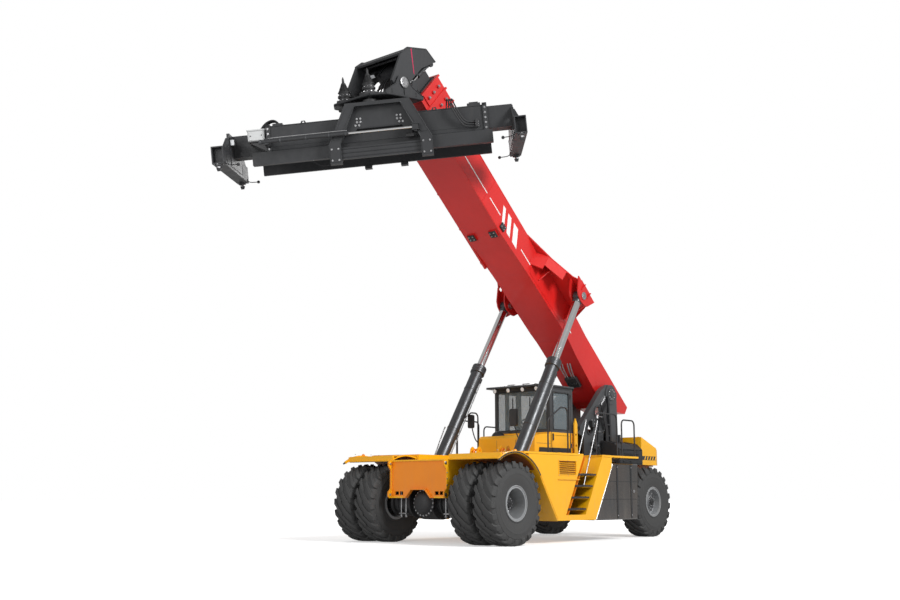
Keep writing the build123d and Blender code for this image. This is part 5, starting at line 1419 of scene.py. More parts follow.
@dataclass
class LoadFrame:
    """Trim of the sliding beam: collars, slide pads, cabinet, cylinder and hoses."""

    top: float = -0.64
    front: float = 0.62
    start: float = -2.05
    end: float = 2.33

    def build(self) -> None:
        """Build the beam's pieces."""
        self.build_collars()
        self.build_front()
        self.build_cabinet()
        self.build_cylinder()
        self.build_hoses()

    def build_collars(self) -> None:
        """Thick bands with bolts round the beam's two ends, and plates and bars on its top."""
        made = Mesher("beam_collars", LOAD)
        for low, high in ((self.start, self.start + 0.09), (self.end - 0.09, self.end)):
            made.box((-0.21, low, self.top - 0.02), (self.front + 0.025, high, self.top + 0.035))
            made.box((self.front - 0.01, low, -1.15), (self.front + 0.025, high, self.top + 0.035))
        made.box((0.2, self.end - 0.38, self.top - 0.005), (0.6, self.end - 0.12, self.top + 0.055))
        made.box((0.24, self.end - 0.34, self.top + 0.05), (0.56, self.end - 0.16, self.top + 0.085))
        made.box((0.22, self.start + 0.14, self.top - 0.005), (0.6, self.start + 0.34, self.top + 0.045))
        for along in (-1.62, -1.12, -0.62, 0.62, 1.12, 1.62):
            made.box((-0.16, along - 0.01, self.top), (0.54, along + 0.01, self.top + 0.012), 0.002)
        made.finish(Finish.CHARCOAL)
        bolts = Mesher("beam_collar_bolts", LOAD)
        for along in (self.start + 0.045, self.end - 0.045):
            bolt_rows(bolts, [(self.front + 0.025, along, level) for level in (-0.7, -0.8, -0.9, -1.0,
                -1.1)], AHEAD, 0.036)
            bolt_rows(bolts, [(across, along, self.top + 0.035) for across in (-0.1, 0.05, 0.2, 0.35, 0.5)],
                UP, 0.036)
        bolts.finish(Finish.STEEL)

    def build_front(self) -> None:
        """Cover plates, long seams and gussets on the beam's front, and its slide pads."""
        made = Mesher("beam_front_plates", LOAD)
        face = self.front
        made.prism([(0.95, -0.72), (2.2, -0.72), (2.2, -1.06), (1.05, -1.06)], face, face + 0.006, "x", 0.002)
        made.prism(rectangle(-1.95, -0.74, -0.7, -1.06), face, face + 0.006, "x", 0.002)
        for level in (-0.655, -1.135):
            made.rod((face, self.start + 0.1, level), (face, self.end - 0.1, level), 0.009, 8)
        for along in (-1.85, -1.25, 1.25, 1.75):
            made.prism([(face, -1.15), (face + 0.035, -1.16), (face + 0.035, -1.385), (face, -1.385)],
                along - 0.01, along + 0.01)
        made.finish(Finish.CHARCOAL)
        pads = Mesher("slide_pads", LOAD)
        for along in (-2.3, 2.2):
            pads.box((0.53, along, -1.404), (0.65, along + 0.12, -1.398), 0.002)
        pads.finish(Finish.BLACK)

    def build_cabinet(self) -> None:
        """Pale control cabinet on a bracket at the beam's right end."""
        Mesher("control_cabinet", LOAD).box((0.2, -2.42, -0.9), (0.6, -2.08, -0.69),
            0.01).box((0.185, -2.435, -0.704), (0.615, -2.065, -0.672), 0.008).finish(Finish.CABINET)
        Mesher("control_cabinet_fittings", LOAD).box((0.6, -2.39, -0.885), (0.606, -2.11, -0.715),
            0.002).finish(Finish.CABINET)
        bracket = Mesher("control_cabinet_bracket", LOAD)
        bracket.box((0.21, -2.41, -0.925), (0.59, -2.03, -0.9))
        for across in (0.24, 0.54):
            bracket.prism([(-2.06, -0.92), (-2.4, -0.92), (-2.06, -1.12)], across, across + 0.016, "x")
        for along in (-2.36, -2.14):
            bracket.rod((0.612, along, -0.8), (0.618, along, -0.8), 0.012)
        for across in (0.28, 0.36, 0.44, 0.52):
            bracket.rod((across, -2.26, -0.93), (across, -2.26, -0.965), 0.014)
        bracket.finish(Finish.BLACK)

    def build_cylinder(self) -> None:
        """Glands and clamps of the side-shift cylinder, and its pipe."""
        barrel = Mesher("side_shift_barrel_trim", LOAD)
        for start, length, radius in ((-2.148, 0.05, 0.046), (-1.75, 0.033, 0.043), (-1.25, 0.033, 0.043),
                (-0.8, 0.033, 0.043), (-0.475, 0.034, 0.05)):
            barrel.turned((0.935, start, -1.01), LEFT, [(0, 0.0379), (0.003, radius),
                (length - 0.003, radius), (length, 0.0379)], 40, hollow=True)
        barrel.finish(Finish.GUNMETAL)
        Mesher("side_shift_pipe", LOAD).pipe([(0.935, -0.44, -0.96), (0.935, -0.5, -0.948),
            (0.935, -1.2, -0.948), (0.92, -1.9, -0.948), (0.76, -2.02, -0.945), (0.64, -2.03, -0.93)],
            0.009).finish(Finish.STEEL)

    def build_hoses(self) -> None:
        """Free hoses at both ends, and a hanging wire under the rail."""
        fittings = Mesher("load_frame_hose_ends")
        face = self.front
        for index in range(4):
            shift = 0.055 * index
            Hose(f"cabinet_hose_{index + 1}", "load_frame", 0.03, 0.5, ((0.26 + shift, -1.8,
                self.top + 0.02), (0.26 + shift, -1.81, self.top + 0.1), (0.26 + shift, -1.93,
                self.top + 0.17), (0.26 + shift, -2.1, self.top + 0.1), (0.26 + shift, -2.17,
                self.top - 0.005))).build(LOAD.place, fittings)
        for index in range(3):
            shift = 0.045 * index
            Hose(f"left_end_hose_{index + 1}", "load_frame", 0.028, 1.15 + 0.07 * index,
                ((0.4, 1.63 - shift, self.top + 0.01), (0.4, 1.64 - shift, self.top + 0.15),
                (0.62, 1.66 - shift, self.top + 0.2), (0.79, 1.7 - shift, self.top + 0.02),
                (0.74, 1.8 - shift * 0.4, self.top - 0.2 - shift), (0.69, 1.89 - shift * 0.4,
                self.top - 0.31 - shift), (0.668, 1.99, self.top - 0.33 - shift),
                (0.645, 2.1, self.top - 0.33 - shift))).build(LOAD.place, fittings)
        Hose("trailing_wire", "load_frame", 0.01, 0.61, ((0.6, -1.16, -1.405), (0.6, -1.155, -1.44),
            (0.6, -1.02, -1.535), (0.6, -0.84, -1.535), (0.6, -0.67, -1.49), (0.6, -0.655, -1.405)),
            stiffness="medium").build(LOAD.place, fittings)
        fittings.finish(Finish.STEEL, "load_frame")
        Mesher("left_end_hose_plate", LOAD).box((face, 2.08, -1.08), (face + 0.075, 2.14,
            -0.92)).finish(Finish.IRON)


@dataclass
class Arm:
    """Trim of one telescopic arm's end frame."""

    body: str
    end: int
    lock_x: float = 1.1295
    lock_y: float = 2.9265

    def build(self) -> None:
        """Build the end frame's pieces."""
        end = self.end
        braces = Mesher(f"{self.body}_braces", LOAD)
        face = end * 2.85
        for start, stop in (((-0.44, -0.72), (0.44, -1.05)), ((-0.44, -1.05), (0.44, -0.72))):
            braces.rod((start[0], face, start[1]), (stop[0], face, stop[1]), 0.018, 12)
        for across in (-0.23, 0.2):
            braces.prism(rectangle(across, -0.7, across + 0.03, -1.06), face, face + end * 0.035)
        gusset = [(0.6, -1.12), (0.85, -1.12), (0.96, -1.23), (0.85, -1.34), (0.6, -1.34)]
        for side in (1, -1):
            for level in (-1.075, -1.385):
                braces.box((side * 0.55, end * 2.803, level - 0.006), (side * 1.2, end * 2.796,
                    level + 0.006))
            for near, far in ((3.035, 3.041), (2.8, 2.794)):
                braces.prism([(side * across, level) for across, level in gusset], end * near, end * far,
                    bevel=0.002)
        braces.finish(Finish.CHARCOAL, self.body)
        self.build_locks()
        self.build_lamp()

    def build_locks(self) -> None:
        """Collars, bolts, shafts and feeler arms of the twistlocks."""
        collars = Mesher(f"{self.body}_lock_collars", LOAD)
        locks = Mesher(f"{self.body}_lock_shafts", LOAD)
        feelers = Mesher(f"{self.body}_feelers", LOAD)
        for side in (1, -1):
            place = Vector((side * self.lock_x, self.end * self.lock_y, 0))
            collars.turned(place + Vector((0, 0, -1.436)), UP, [(0, 0.05), (0.004, 0.066), (0.01, 0.078),
                (0.03, 0.08), (0.034, 0.074)], 36)
            collars.turned(place + Vector((0, 0, -1.402)), UP, [(0, 0.096), (0.006, 0.098), (0.01, 0.094)],
                36)
            ring = bolt_ring(8, 0.087, 0.02, 0.008)
            locks.take(ring, at(place + Vector((0, 0, -1.402))) @ OVER)
            locks.turned(place + Vector((0, 0, -1.468)), UP, [(0, 0.0325), (0.032, 0.0325)], 28)
            inner = self.end * (self.lock_y - 0.12)
            feelers.pipe([(side * 1.08, inner, -1.37), (side * 1.06, inner - self.end * 0.08, -1.41),
                (side * 1.05, inner - self.end * 0.24, -1.42)], 0.009, 8, 6)
            feelers.turned((side * 1.05, inner - self.end * 0.24, -1.452), UP,
                [(0, 0.006), (0.006, 0.024), (0.03, 0.034), (0.052, 0.028), (0.064, 0.01)], 20)
            feelers.box((side * 1.055, inner + self.end * 0.012, -1.4), (side * 1.105,
                inner - self.end * 0.02, -1.33))
        collars.finish(Finish.GUNMETAL, self.body)
        locks.finish(Finish.STEEL, self.body)
        feelers.finish(Finish.BLACK, self.body)

    def build_lamp(self) -> None:
        """A work lamp inside the end frame."""
        end = self.end
        Mesher(f"{self.body}_lamp", LOAD).box((0.44, end * 2.79, -0.935), (0.52, end * 2.7, -0.805),
            0.008).box((0.46, end * 2.8, -0.9), (0.5, end * 2.77, -0.78)).finish(Finish.BLACK, self.body)
        Mesher(f"{self.body}_lamp_lens", LOAD).box((0.52, end * 2.78, -0.925), (0.527, end * 2.71, -0.815),
            0.002).finish(Finish.CLEAR, self.body)


class LoadEnd:
    """Everything that hangs from the boom's head."""

    def __init__(self) -> None:
        """Set out the parts."""
        self.parts = (SlewHead(), Carrier(), LoadFrame(), Arm("right_arm", -1), Arm("left_arm", 1))

    def build(self) -> None:
        """Build them in order."""
        for part in self.parts:
            part.build()


# ---------------------------------------- cab
@dataclass(frozen=True)
class Cushion:
    """A padded, crowned form with sewn channels, lying on the xy plane before it is turned and placed."""

    name: str
    width: float
    depth: float
    thickness: float
    crown: float = 0.025
    channels: tuple[float, ...] = (-0.5, 0, 0.5)
    steps: int = 28

    def bulge(self, across: float, along: float) -> float:
        """Height over the rim at a place given from -1 to 1 each way."""
        rise = self.crown * (1.0 - across ** 4) * (1.0 - along ** 4)
        for channel in self.channels:
            rise -= 0.01 * exp(-((along - channel) / 0.045) ** 2) * (1.0 - across ** 6)
        return rise

    def build(self, place: Matrix, body: str) -> bpy.types.Object:
        """Build the cushion.

        Args:
            place: matrix from the cushion's own frame to the row frame.
            body: the CAD body that it rides on.

        Returns:
            The cushion's object.
        """
        made = Mesher(self.name, Frame(body, place))
        rings = []
        levels = [0, 0.06, 0.25, 0.5, 0.75, 0.94, 1.0]
        for level in levels:
            inset = 0.03 * (1.0 - sqrt(max(0, 1.0 - (2.0 * level - 1.0) ** 2)))
            ring = []
            for step in range(self.steps * 4):
                turn = tau * (step + 0.5) / (self.steps * 4)
                across = copysign(abs(cos(turn)) ** 0.28, cos(turn))
                along = copysign(abs(sin(turn)) ** 0.28, sin(turn))
                pull = 0.01 * sin(pi * level)
                x = across * (self.width / 2 - inset - pull * (1.0 - along ** 2))
                y = along * (self.depth / 2 - inset - pull * (1.0 - across ** 2))
                ring.append(Vector((x, y, self.thickness * level)))
            rings.append(ring)
        for share in (0.85, 0.65, 0.42, 0.18, 0.02):
            rings.append([Vector((p.x * share, p.y * share, self.thickness
                + self.bulge(p.x * share * 2 / self.width, p.y * share * 2 / self.depth))) for p in rings[6]])
        made.loft(rings)
        return made.finish(Finish.CLOTH, sharp=70.0)


@dataclass
class Cab:
    """The driver's cab: frame trim, seat, console, wipers, lamps and mirrors."""

    front: float = -3.03
    rear: float = -4.35
    half: float = 0.77
    sill: float = 2.33
    top: float = 3.34
    window: tuple[float, float] = (2.39, 3.27)

    def build(self) -> None:
        """Build the cab's pieces."""
        self.build_gaskets()
        self.build_wipers()
        self.build_roof()
        self.build_lower_band()
        self.build_mirrors()
        self.build_seat()
        self.build_inside()
        self.build_door()

    def frame_of(self, low: Point, high: Point, axis: str, made: Mesher, width: float = 0.022,
            proud: float = 0.008) -> None:
        """Add a rubber gasket round a window, four mitred bars.

        Args:
            low: the window's low corner; its two cuts are (first, z) and the third value is the plane.
            high: the window's high corner.
            axis: "x" for a window in a plane of constant x, "y" for constant y.
            made: the mesher that takes it.
            width: the gasket's width.
            proud: how far it stands out of the plane.
        """
        (start, bottom), (end, head), level = low[:2], high[:2], low[2]
        outline = rectangle(start, bottom, end, head)
        inner = rectangle(start + width, bottom + width, end - width, head - width)
        for index in range(4):
            after = (index + 1) % 4
            made.prism([outline[index], outline[after], inner[after], inner[index]], level, level + proud,
                axis)

    def build_gaskets(self) -> None:
        """Window rubbers and seams of the cab."""
        made = Mesher("window_gaskets", MACHINE)
        low, high = self.window
        self.frame_of((-0.7, low - 0.01, self.front), (0.7, high + 0.01, self.front), "x", made)
        self.frame_of((-0.41, low - 0.01, self.rear), (0.41, high + 0.01, self.rear), "x", made, proud=-0.008)
        for start, end in ((-3.45, -3.09), (-3.87, -3.51)):
            self.frame_of((start, low - 0.01, -self.half), (end, high + 0.01, -self.half), "y", made,
                proud=-0.008)
        made.finish(Finish.BLACK)
        trim = Mesher("cab_seams", MACHINE)
        trim.box((self.front - 0.02, -self.half - 0.001, self.sill + 0.028),
            (-3.93, -self.half - 0.006, self.sill + 0.04), 0.001)
        for side in (1, -1):
            trim.box((self.front + 0.001, side * 0.745, self.sill), (self.front + 0.008, side * 0.735,
                self.top), 0.001)
        trim.finish(Finish.BLACK)

    def build_wipers(self) -> None:
        """Two wipers on the windscreen."""
        made = Mesher("cab_wipers", MACHINE)
        face = self.front + 0.01
        for pivot_y, lean in ((0.34, 0.1), (-0.34, -0.1)):
            made.turned((face - 0.012, pivot_y, 2.365), AHEAD, [(0, 0.032), (0.02, 0.032), (0.03, 0.014),
                (0.042, 0.014)], 20)
            made.pipe([(face + 0.02, pivot_y, 2.365), (face + 0.034, pivot_y - lean * 0.4, 2.6),
                (face + 0.026, pivot_y - lean, 2.84)], 0.007, 8, 5)
            made.prism(rectangle(pivot_y - lean - 0.006, 2.56, pivot_y - lean + 0.006, 3.12), face + 0.004,
                face + 0.026, "x")
        made.finish(Finish.BLACK)

    def build_roof(self) -> None:
        """Roof lamps and their lenses, edge strips, ribs, caps and bolts."""
        lamps = Mesher("cab_lamps", MACHINE)
        lenses = Mesher("cab_lamp_lenses", MACHINE)
        for y in (-0.58, -0.2, 0.2, 0.58):
            lamps.turned((-2.845, y, 3.3), (1, 0, -0.22), [(0, 0.03), (0.03, 0.052), (0.06, 0.058),
                (0.066, 0.052)], 24)
            lamps.box((-2.835, y - 0.008, 3.325), (-2.815, y + 0.008, 3.342))
            lenses.turned((-2.782, y, 3.287), (1, 0, -0.22), [(0, 0.047), (0.005, 0.046), (0.009, 0.03)], 24)
        lamps.finish(Finish.BLACK)
        lenses.finish(Finish.CLEAR)
        roof = Mesher("cab_roof_trim", MACHINE)
        for _ in roof.sides():
            roof.box((-2.76, 0.797, 3.338), (-3.95, 0.812, 3.352), 0.003)
            for start in (-3.55, -3.3, -3.05):
                roof.box((start, 0.3, 3.416), (start + 0.16, 0.12, 3.424), 0.003)
        roof.box((-2.742, -0.79, 3.336), (-2.757, 0.79, 3.352), 0.003)
        for y in (0.36, -0.36):
            roof.turned((-3.7, y, 3.381), UP, [(0, 0.03), (0.006, 0.03), (0.008, 0.016), (0.02, 0.016)], 16)
        roof.finish(Finish.BLACK)
        bolts = Mesher("cab_roof_bolts", MACHINE)
        bolt = hexagon_bolt(0.022)
        for side in (1, -1):
            row = Repeater.row(bolt, Finish.STEEL, 6, (-0.2, 0, 0))
            bolts.take(row, at((-2.84, side * 0.745, 3.381)))
        bolts.finish(Finish.STEEL)

    def build_lower_band(self) -> None:
        """Dark band and panel seams along the yellow console, and the black dome at its front."""
        band = Mesher("console_band", MACHINE)
        for side, end in ((1, -3.06), (-1, -3.84)):
            band.prism([(-2.56, 1.812), (end, 1.812), (end, 1.985), (-2.6, 1.985)], side * 0.771,
                side * 0.783, "y", 0.002)
        band.finish(Finish.CHARCOAL)
        Mesher("door_band", MACHINE).prism(rectangle(-3.085, 1.862, -3.8, 1.985), 0.7685, 0.78, "y",
            0.002).finish(Finish.CHARCOAL, "cab_door")
        Mesher("door_lower_skin", MACHINE).prism(rectangle(-3.085, 1.99, -3.8, 2.33), 0.7685, 0.773, "y",
            0.001).finish(Finish.YELLOW, "cab_door")
        seams = Mesher("console_seams", MACHINE)
        for _ in seams.sides():
            seams.box((-2.5, 0.7705, 2.07), (-3.04, 0.774, 2.076), 0.001)
            seams.box((-3.04, 0.7705, 1.99), (-3.046, 0.774, 2.3), 0.001)
        for y in (0.26, -0.26):
            seams.box((-2.4295, y - 0.003, 1.84), (-2.4255, y + 0.003, 2.15), 0.001)
        seams.finish(Finish.BLACK)
        Mesher("cab_front_dome", MACHINE).turned((-2.74, -0.46, 2.205), (-0.15, 0, 1),
            [(0, 0.15), (0.02, 0.156), (0.06, 0.15), (0.11, 0.126), (0.145, 0.088), (0.162, 0.04),
            (0.166, 0.004)], 40).turned((-2.74, -0.46, 2.196), (-0.15, 0, 1),
            [(0, 0.172), (0.016, 0.172), (0.022, 0.164)], 40).finish(Finish.BLACK)
        bolts = Mesher("console_bolts", MACHINE)
        for side in (1, -1):
            turn = OUTWARD[side]
            for step in range(3 if side > 0 else 7):
                bolts.take(hexagon_bolt(0.02), at((-2.62 - 0.19 * step, side * 0.784, 1.83)) @ turn)
        bolts.finish(Finish.STEEL)

    def build_mirrors(self) -> None:
        """Tall mirror in front of the windscreen on its stalk, and one at the other corner."""
        made = Mesher("cab_mirrors", MACHINE)
        faces = Mesher("cab_mirror_faces", MACHINE)
        for y, size in ((0.3, 1.0), (-0.9, 0.8)):
            half = 0.105 * size
            tall = 0.38 * size
            made.pipe([(-2.52, y + 0.06, 2.1), (-2.4, y + 0.05, 2.2), (-2.36, y, 2.42), (-2.36, y, 2.55)],
                0.013, 12, 6)
            corner = 0.04
            outline = []
            for cy, cz, start in ((half - corner, tall - corner, 0), (-half + corner, tall - corner, 90),
                    (-half + corner, corner, 180), (half - corner, corner, 270)):
                for step in range(5):
                    turn = radians(start + 22.5 * step)
                    outline.append((y + cy + corner * cos(turn), 2.44 + cz + corner * sin(turn)))
            made.prism(outline, -2.345, -2.285, "x", 0.01)
            inner = [(y + (py - y) * 0.86, 2.44 + tall / 2 + (pz - 2.44 - tall / 2) * 0.93) for py,
                pz in outline]
            faces.prism(inner, -2.349, -2.344, "x")
        made.finish(Finish.BLACK)
        faces.finish(Finish.CHROME)

    def build_seat(self) -> None:
        """A sprung seat with padded cushions, in place of the plain CAD one."""
        machine = MACHINE.place
        base = Mesher("seat_base", MACHINE)
        base.box((-3.97, -0.19, 1.832), (-3.6, 0.19, 1.9), 0.01)
        for level in range(7):
            base.box((-3.955 + 0.004 * (level % 2), -0.176 + 0.004 * (level % 2), 1.902 + 0.033 * level),
                (-3.615 - 0.004 * (level % 2), 0.176 - 0.004 * (level % 2), 1.932 + 0.033 * level), 0.012)
        base.box((-4.03, -0.235, 2.14), (-3.54, 0.235, 2.182), 0.012)
        for _ in base.sides():
            base.pipe([(-4.02, 0.262, 2.2), (-4.05, 0.262, 2.32), (-4.02, 0.29, 2.38)], 0.014, 10, 5)
        base.finish(Finish.BLACK, replaces=("cab_seat",))
        forward = Matrix.Rotation(radians(90.0), 4, "Z")
        seat = Cushion("seat_cushion", 0.48, 0.5, 0.075, 0.028, (-0.45, 0.05, 0.55))
        seat.build(machine @ at((-3.785, 0, 2.184)) @ forward, "chassis")
        lean = machine @ at((-4.035, 0, 2.6)) @ Matrix.Rotation(radians(-8.0), 4,
            "Y") @ Matrix.Rotation(radians(90.0), 4, "Y") @ Matrix.Rotation(radians(90.0), 4, "Z")
        back = Cushion("seat_back", 0.46, 0.62, 0.08, 0.026, (-0.55, -0.15, 0.25, 0.62))
        back.build(lean, "chassis")
        for side, label in SIDES:
            rest = Cushion(f"{label}_armrest", 0.062, 0.34, 0.04, 0.01, ())
            rest.build(machine @ at((-3.82, side * 0.292, 2.372)) @ forward, "chassis")

    def build_inside(self) -> None:
        """Dashboard, side boxes, a lever and the steering wheel's rim behind the glass."""
        made = Mesher("cab_inside", MACHINE)
        made.prism([(-2.98, 2.2), (-3.06, 2.235), (-3.1, 2.215), (-3.1, 2.04), (-2.99, 2.0)], -0.7, 0.7, "y",
            0.01)
        made.box((-3.14, 0.42, 2.05), (-3.3, 0.66, 2.24), 0.015)
        made.box((-3.55, -0.34, 1.84), (-4.0, -0.56, 2.3), 0.02)
        made.turned((-3.62, -0.45, 2.3), UP, [(0, 0.06), (0.03, 0.046), (0.05, 0.016), (0.16, 0.011),
            (0.17, 0.024), (0.21, 0.026), (0.23, 0.012)], 24)
        made.finish(Finish.TRIM)
        rim = Mesher("steering_wheel_rim", MACHINE)
        normal = Vector((-0.45, 0, 0.9)).normalized()
        centre = Vector((-3.32, 0, 2.54)) + normal * 0.013
        profile = [(0.017 * sin(turn), 0.1915 + 0.0145 * cos(turn)) for turn in turns(10)]
        rim.turned(centre, normal, profile, 48, hollow=True)
        rim.turned(centre + normal * 0.012, normal, [(0, 0.042), (0.014, 0.038), (0.018, 0.02)], 24)
        rim.finish(Finish.BLACK)

    def build_door(self) -> None:
        """Gasket, seams and lock on the door."""
        made = Mesher("cab_door_trim", MACHINE)
        low, high = self.window
        self.frame_of((-3.775, low - 0.005, self.half - 0.002), (-3.14, high - 0.035, self.half - 0.002),
            "y", made, 0.02, 0.01)
        for z in (1.9, 2.26):
            made.box((-3.82, self.half - 0.002, z), (-3.1, self.half + 0.003, z + 0.01), 0.001)
        made.turned((-3.12, self.half + 0.012, 2.17), LEFT, [(0, 0.024), (0.01, 0.024), (0.014, 0.012)], 20)
        made.finish(Finish.BLACK, "cab_door")


# ---------------------------------------- body
@dataclass
class Fenders:
    """Trim of the mudguards: lip beads, inner lining in brown-orange as painted shade under the arch, marker
    lamps and bolts.
    """

    axle_z: float = 0.8
    arch: float = 0.93

    def build(self) -> None:
        """Build both sides."""
        for side, label in SIDES:
            lip = Mesher(f"{label}_fender_lip", MACHINE)
            line = [(self.radial(self.arch + 0.04, 56 + step * 2.5), side * 2.064) for step in range(37)]
            lip.pipe([(x, y, z) for (x, z), y in line], 0.017, 12, 1)
            lip.finish(Finish.BLACK)
            lining = Mesher(f"{label}_fender_lining", MACHINE)
            inner = [self.radial(self.arch - 0.004, 64 + step * 3) for step in range(25)]
            outer = [self.radial(self.arch - 0.001, 64 + step * 3) for step in range(25)]
            lining.prism(inner + outer[::-1], side * 0.8, side * 2.018)
            # painted shade: the lining is brown-orange to stand for the yellow in shade under the arch
            lining.finish(Finish.PAINTED_SHADE_BROWN)
            Mesher(f"{label}_marker_lamp", MACHINE).turned((-0.02, side * 2.035, 1.792), UP,
                [(0, 0.036), (0.01, 0.036), (0.024, 0.03), (0.034, 0.018), (0.038, 0.003)],
                24).finish(Finish.AMBER)
            self.build_bolts(side, label)

    def radial(self, radius: float, degrees: float) -> tuple[float, float]:
        """A point (x, z) on a circle about the front axle."""
        turn = radians(degrees)
        return radius * cos(turn), self.axle_z + radius * sin(turn)

    def build_bolts(self, side: int, label: str) -> None:
        """Bolts along the lip and on the level top.

        Args:
            side: 1 for the left, -1 for the right.
            label: the side's name.
        """
        bolts = Mesher(f"{label}_fender_bolts", MACHINE)
        head = hexagon_bolt(0.024)
        turn = OUTWARD[side]
        for step in range(7):
            x, z = self.radial(self.arch + 0.075, 68 + step * 11.5)
            if z < 1.55:
                bolts.take(head, at((x, side * 2.052, z)) @ turn)
        for x in (-0.36, -0.12, 0.12, 0.36):
            bolts.take(head, at((x, side * 1.9, 1.802)))
        bolts.finish(Finish.STEEL)


@dataclass
class FrontPlate:
    """Front plate: yellow flanges, pins and bolts in the ears, seams in the orange that paints the plate's
    shade.
    """

    front: float = 0

    def __post_init__(self) -> None:
        """Read the plate's front face from its CAD node."""
        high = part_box("front_plate")[1]
        self.front = (MACHINE.place.inverted() @ Vector(high)).x - 0.105

    def build(self) -> None:
        """Build the trim."""
        rim = Mesher("front_plate_flanges", MACHINE)
        x = self.front
        for _ in rim.sides():
            outline = [(x - 0.031, 1.651), (x + 0.06, 1.651), (x + 0.106, 1.616), (x + 0.106, 1.539),
                (x + 0.036, 1.454), (x + 0.036, 1.086), (x + 0.106, 1.011), (x + 0.106, 0.929),
                (x + 0.076, 0.899), (x - 0.031, 0.899)]
            rim.prism(outline, 0.7502, 0.7535)
            rim.prism(outline, 0.7245, 0.7215)
            rim.prism([(0.722, 0.9005), (0.4, 0.9005), (0.404, 0.93), (0.722, 0.93)], x, x + 0.004, "x")
        rim.box((x + 0.0005, -0.72, 1.626), (x + 0.034, 0.72, 1.654), 0.003)
        rim.finish(Finish.YELLOW)
        pins = Mesher("front_plate_pins", MACHINE)
        for side in pins.sides():
            for z in (1.58, 0.965):
                pins.rod((x + 0.062, 0.7, z), (x + 0.062, 0.765, z), 0.022, 24)
                pins.turned((x + 0.062, 0.755, z), LEFT, [(0, 0.033), (0.008, 0.033), (0.012, 0.027)], 24)
            for z in (1.39, 1.27, 1.15):
                pins.take(hexagon_bolt(0.024), at((x + 0.018, side * 0.754, z)) @ OUTWARD[side])
        pins.finish(Finish.STEEL)
        seams = Mesher("front_plate_welds", MACHINE)
        for _ in seams.sides():
            fillet_bead(seams, (x + 0.003, 0.721, 0.94), (x + 0.003, 0.721, 1.61), 0.008)
        # painted shade: the beads take the orange that stands for the shaded yellow front face
        seams.finish(Finish.ORANGE_AND_PAINTED_SHADE)


@dataclass
class Axles:
    """Differential cover, flanges, pads and clamp bolts of the drive axle."""

    def build(self) -> None:
        """Build the drive axle's trim."""
        made = Mesher("differential_housing", MACHINE)
        made.turned((0.3, 0, 0.8), AHEAD, [(0, 0.262), (0.018, 0.262), (0.03, 0.232), (0.08, 0.205),
            (0.118, 0.15), (0.138, 0.08), (0.143, 0.01)], 48)
        for _ in made.sides():
            made.turned((0, 0.4, 0.8), LEFT, [(0, 0.3), (0.018, 0.3), (0.022, 0.292)], 48)
            made.turned((0, 0.745, 0.8), LEFT, [(0, 0.272), (0.024, 0.272), (0.03, 0.258)], 48)
            for x in (0.2, -0.2):
                made.box((x - 0.03, 0.565, 0.62), (x + 0.03, 0.625, 0.9), 0.012)
        made.finish(Finish.IRON)
        studs = Mesher("axle_clamp_bolts", MACHINE)
        for side in studs.sides():
            for x in (0.252, -0.252):
                for y in (0.53, 0.66):
                    studs.rod((x, y, 0.545), (x, y, 1.03), 0.017, 16)
                    studs.take(hexagon_bolt(0.05, 0.03), at((x, side * y, 0.548)) @ OVER)
                studs.box((x - 0.045, 0.5, 0.575), (x + 0.045, 0.69, 0.607), 0.006)
        ring = bolt_ring(20, 0.247, 0.034)
        studs.take(ring, at((0.318, 0, 0.8)) @ TO_X)
        studs.finish(Finish.STEEL)


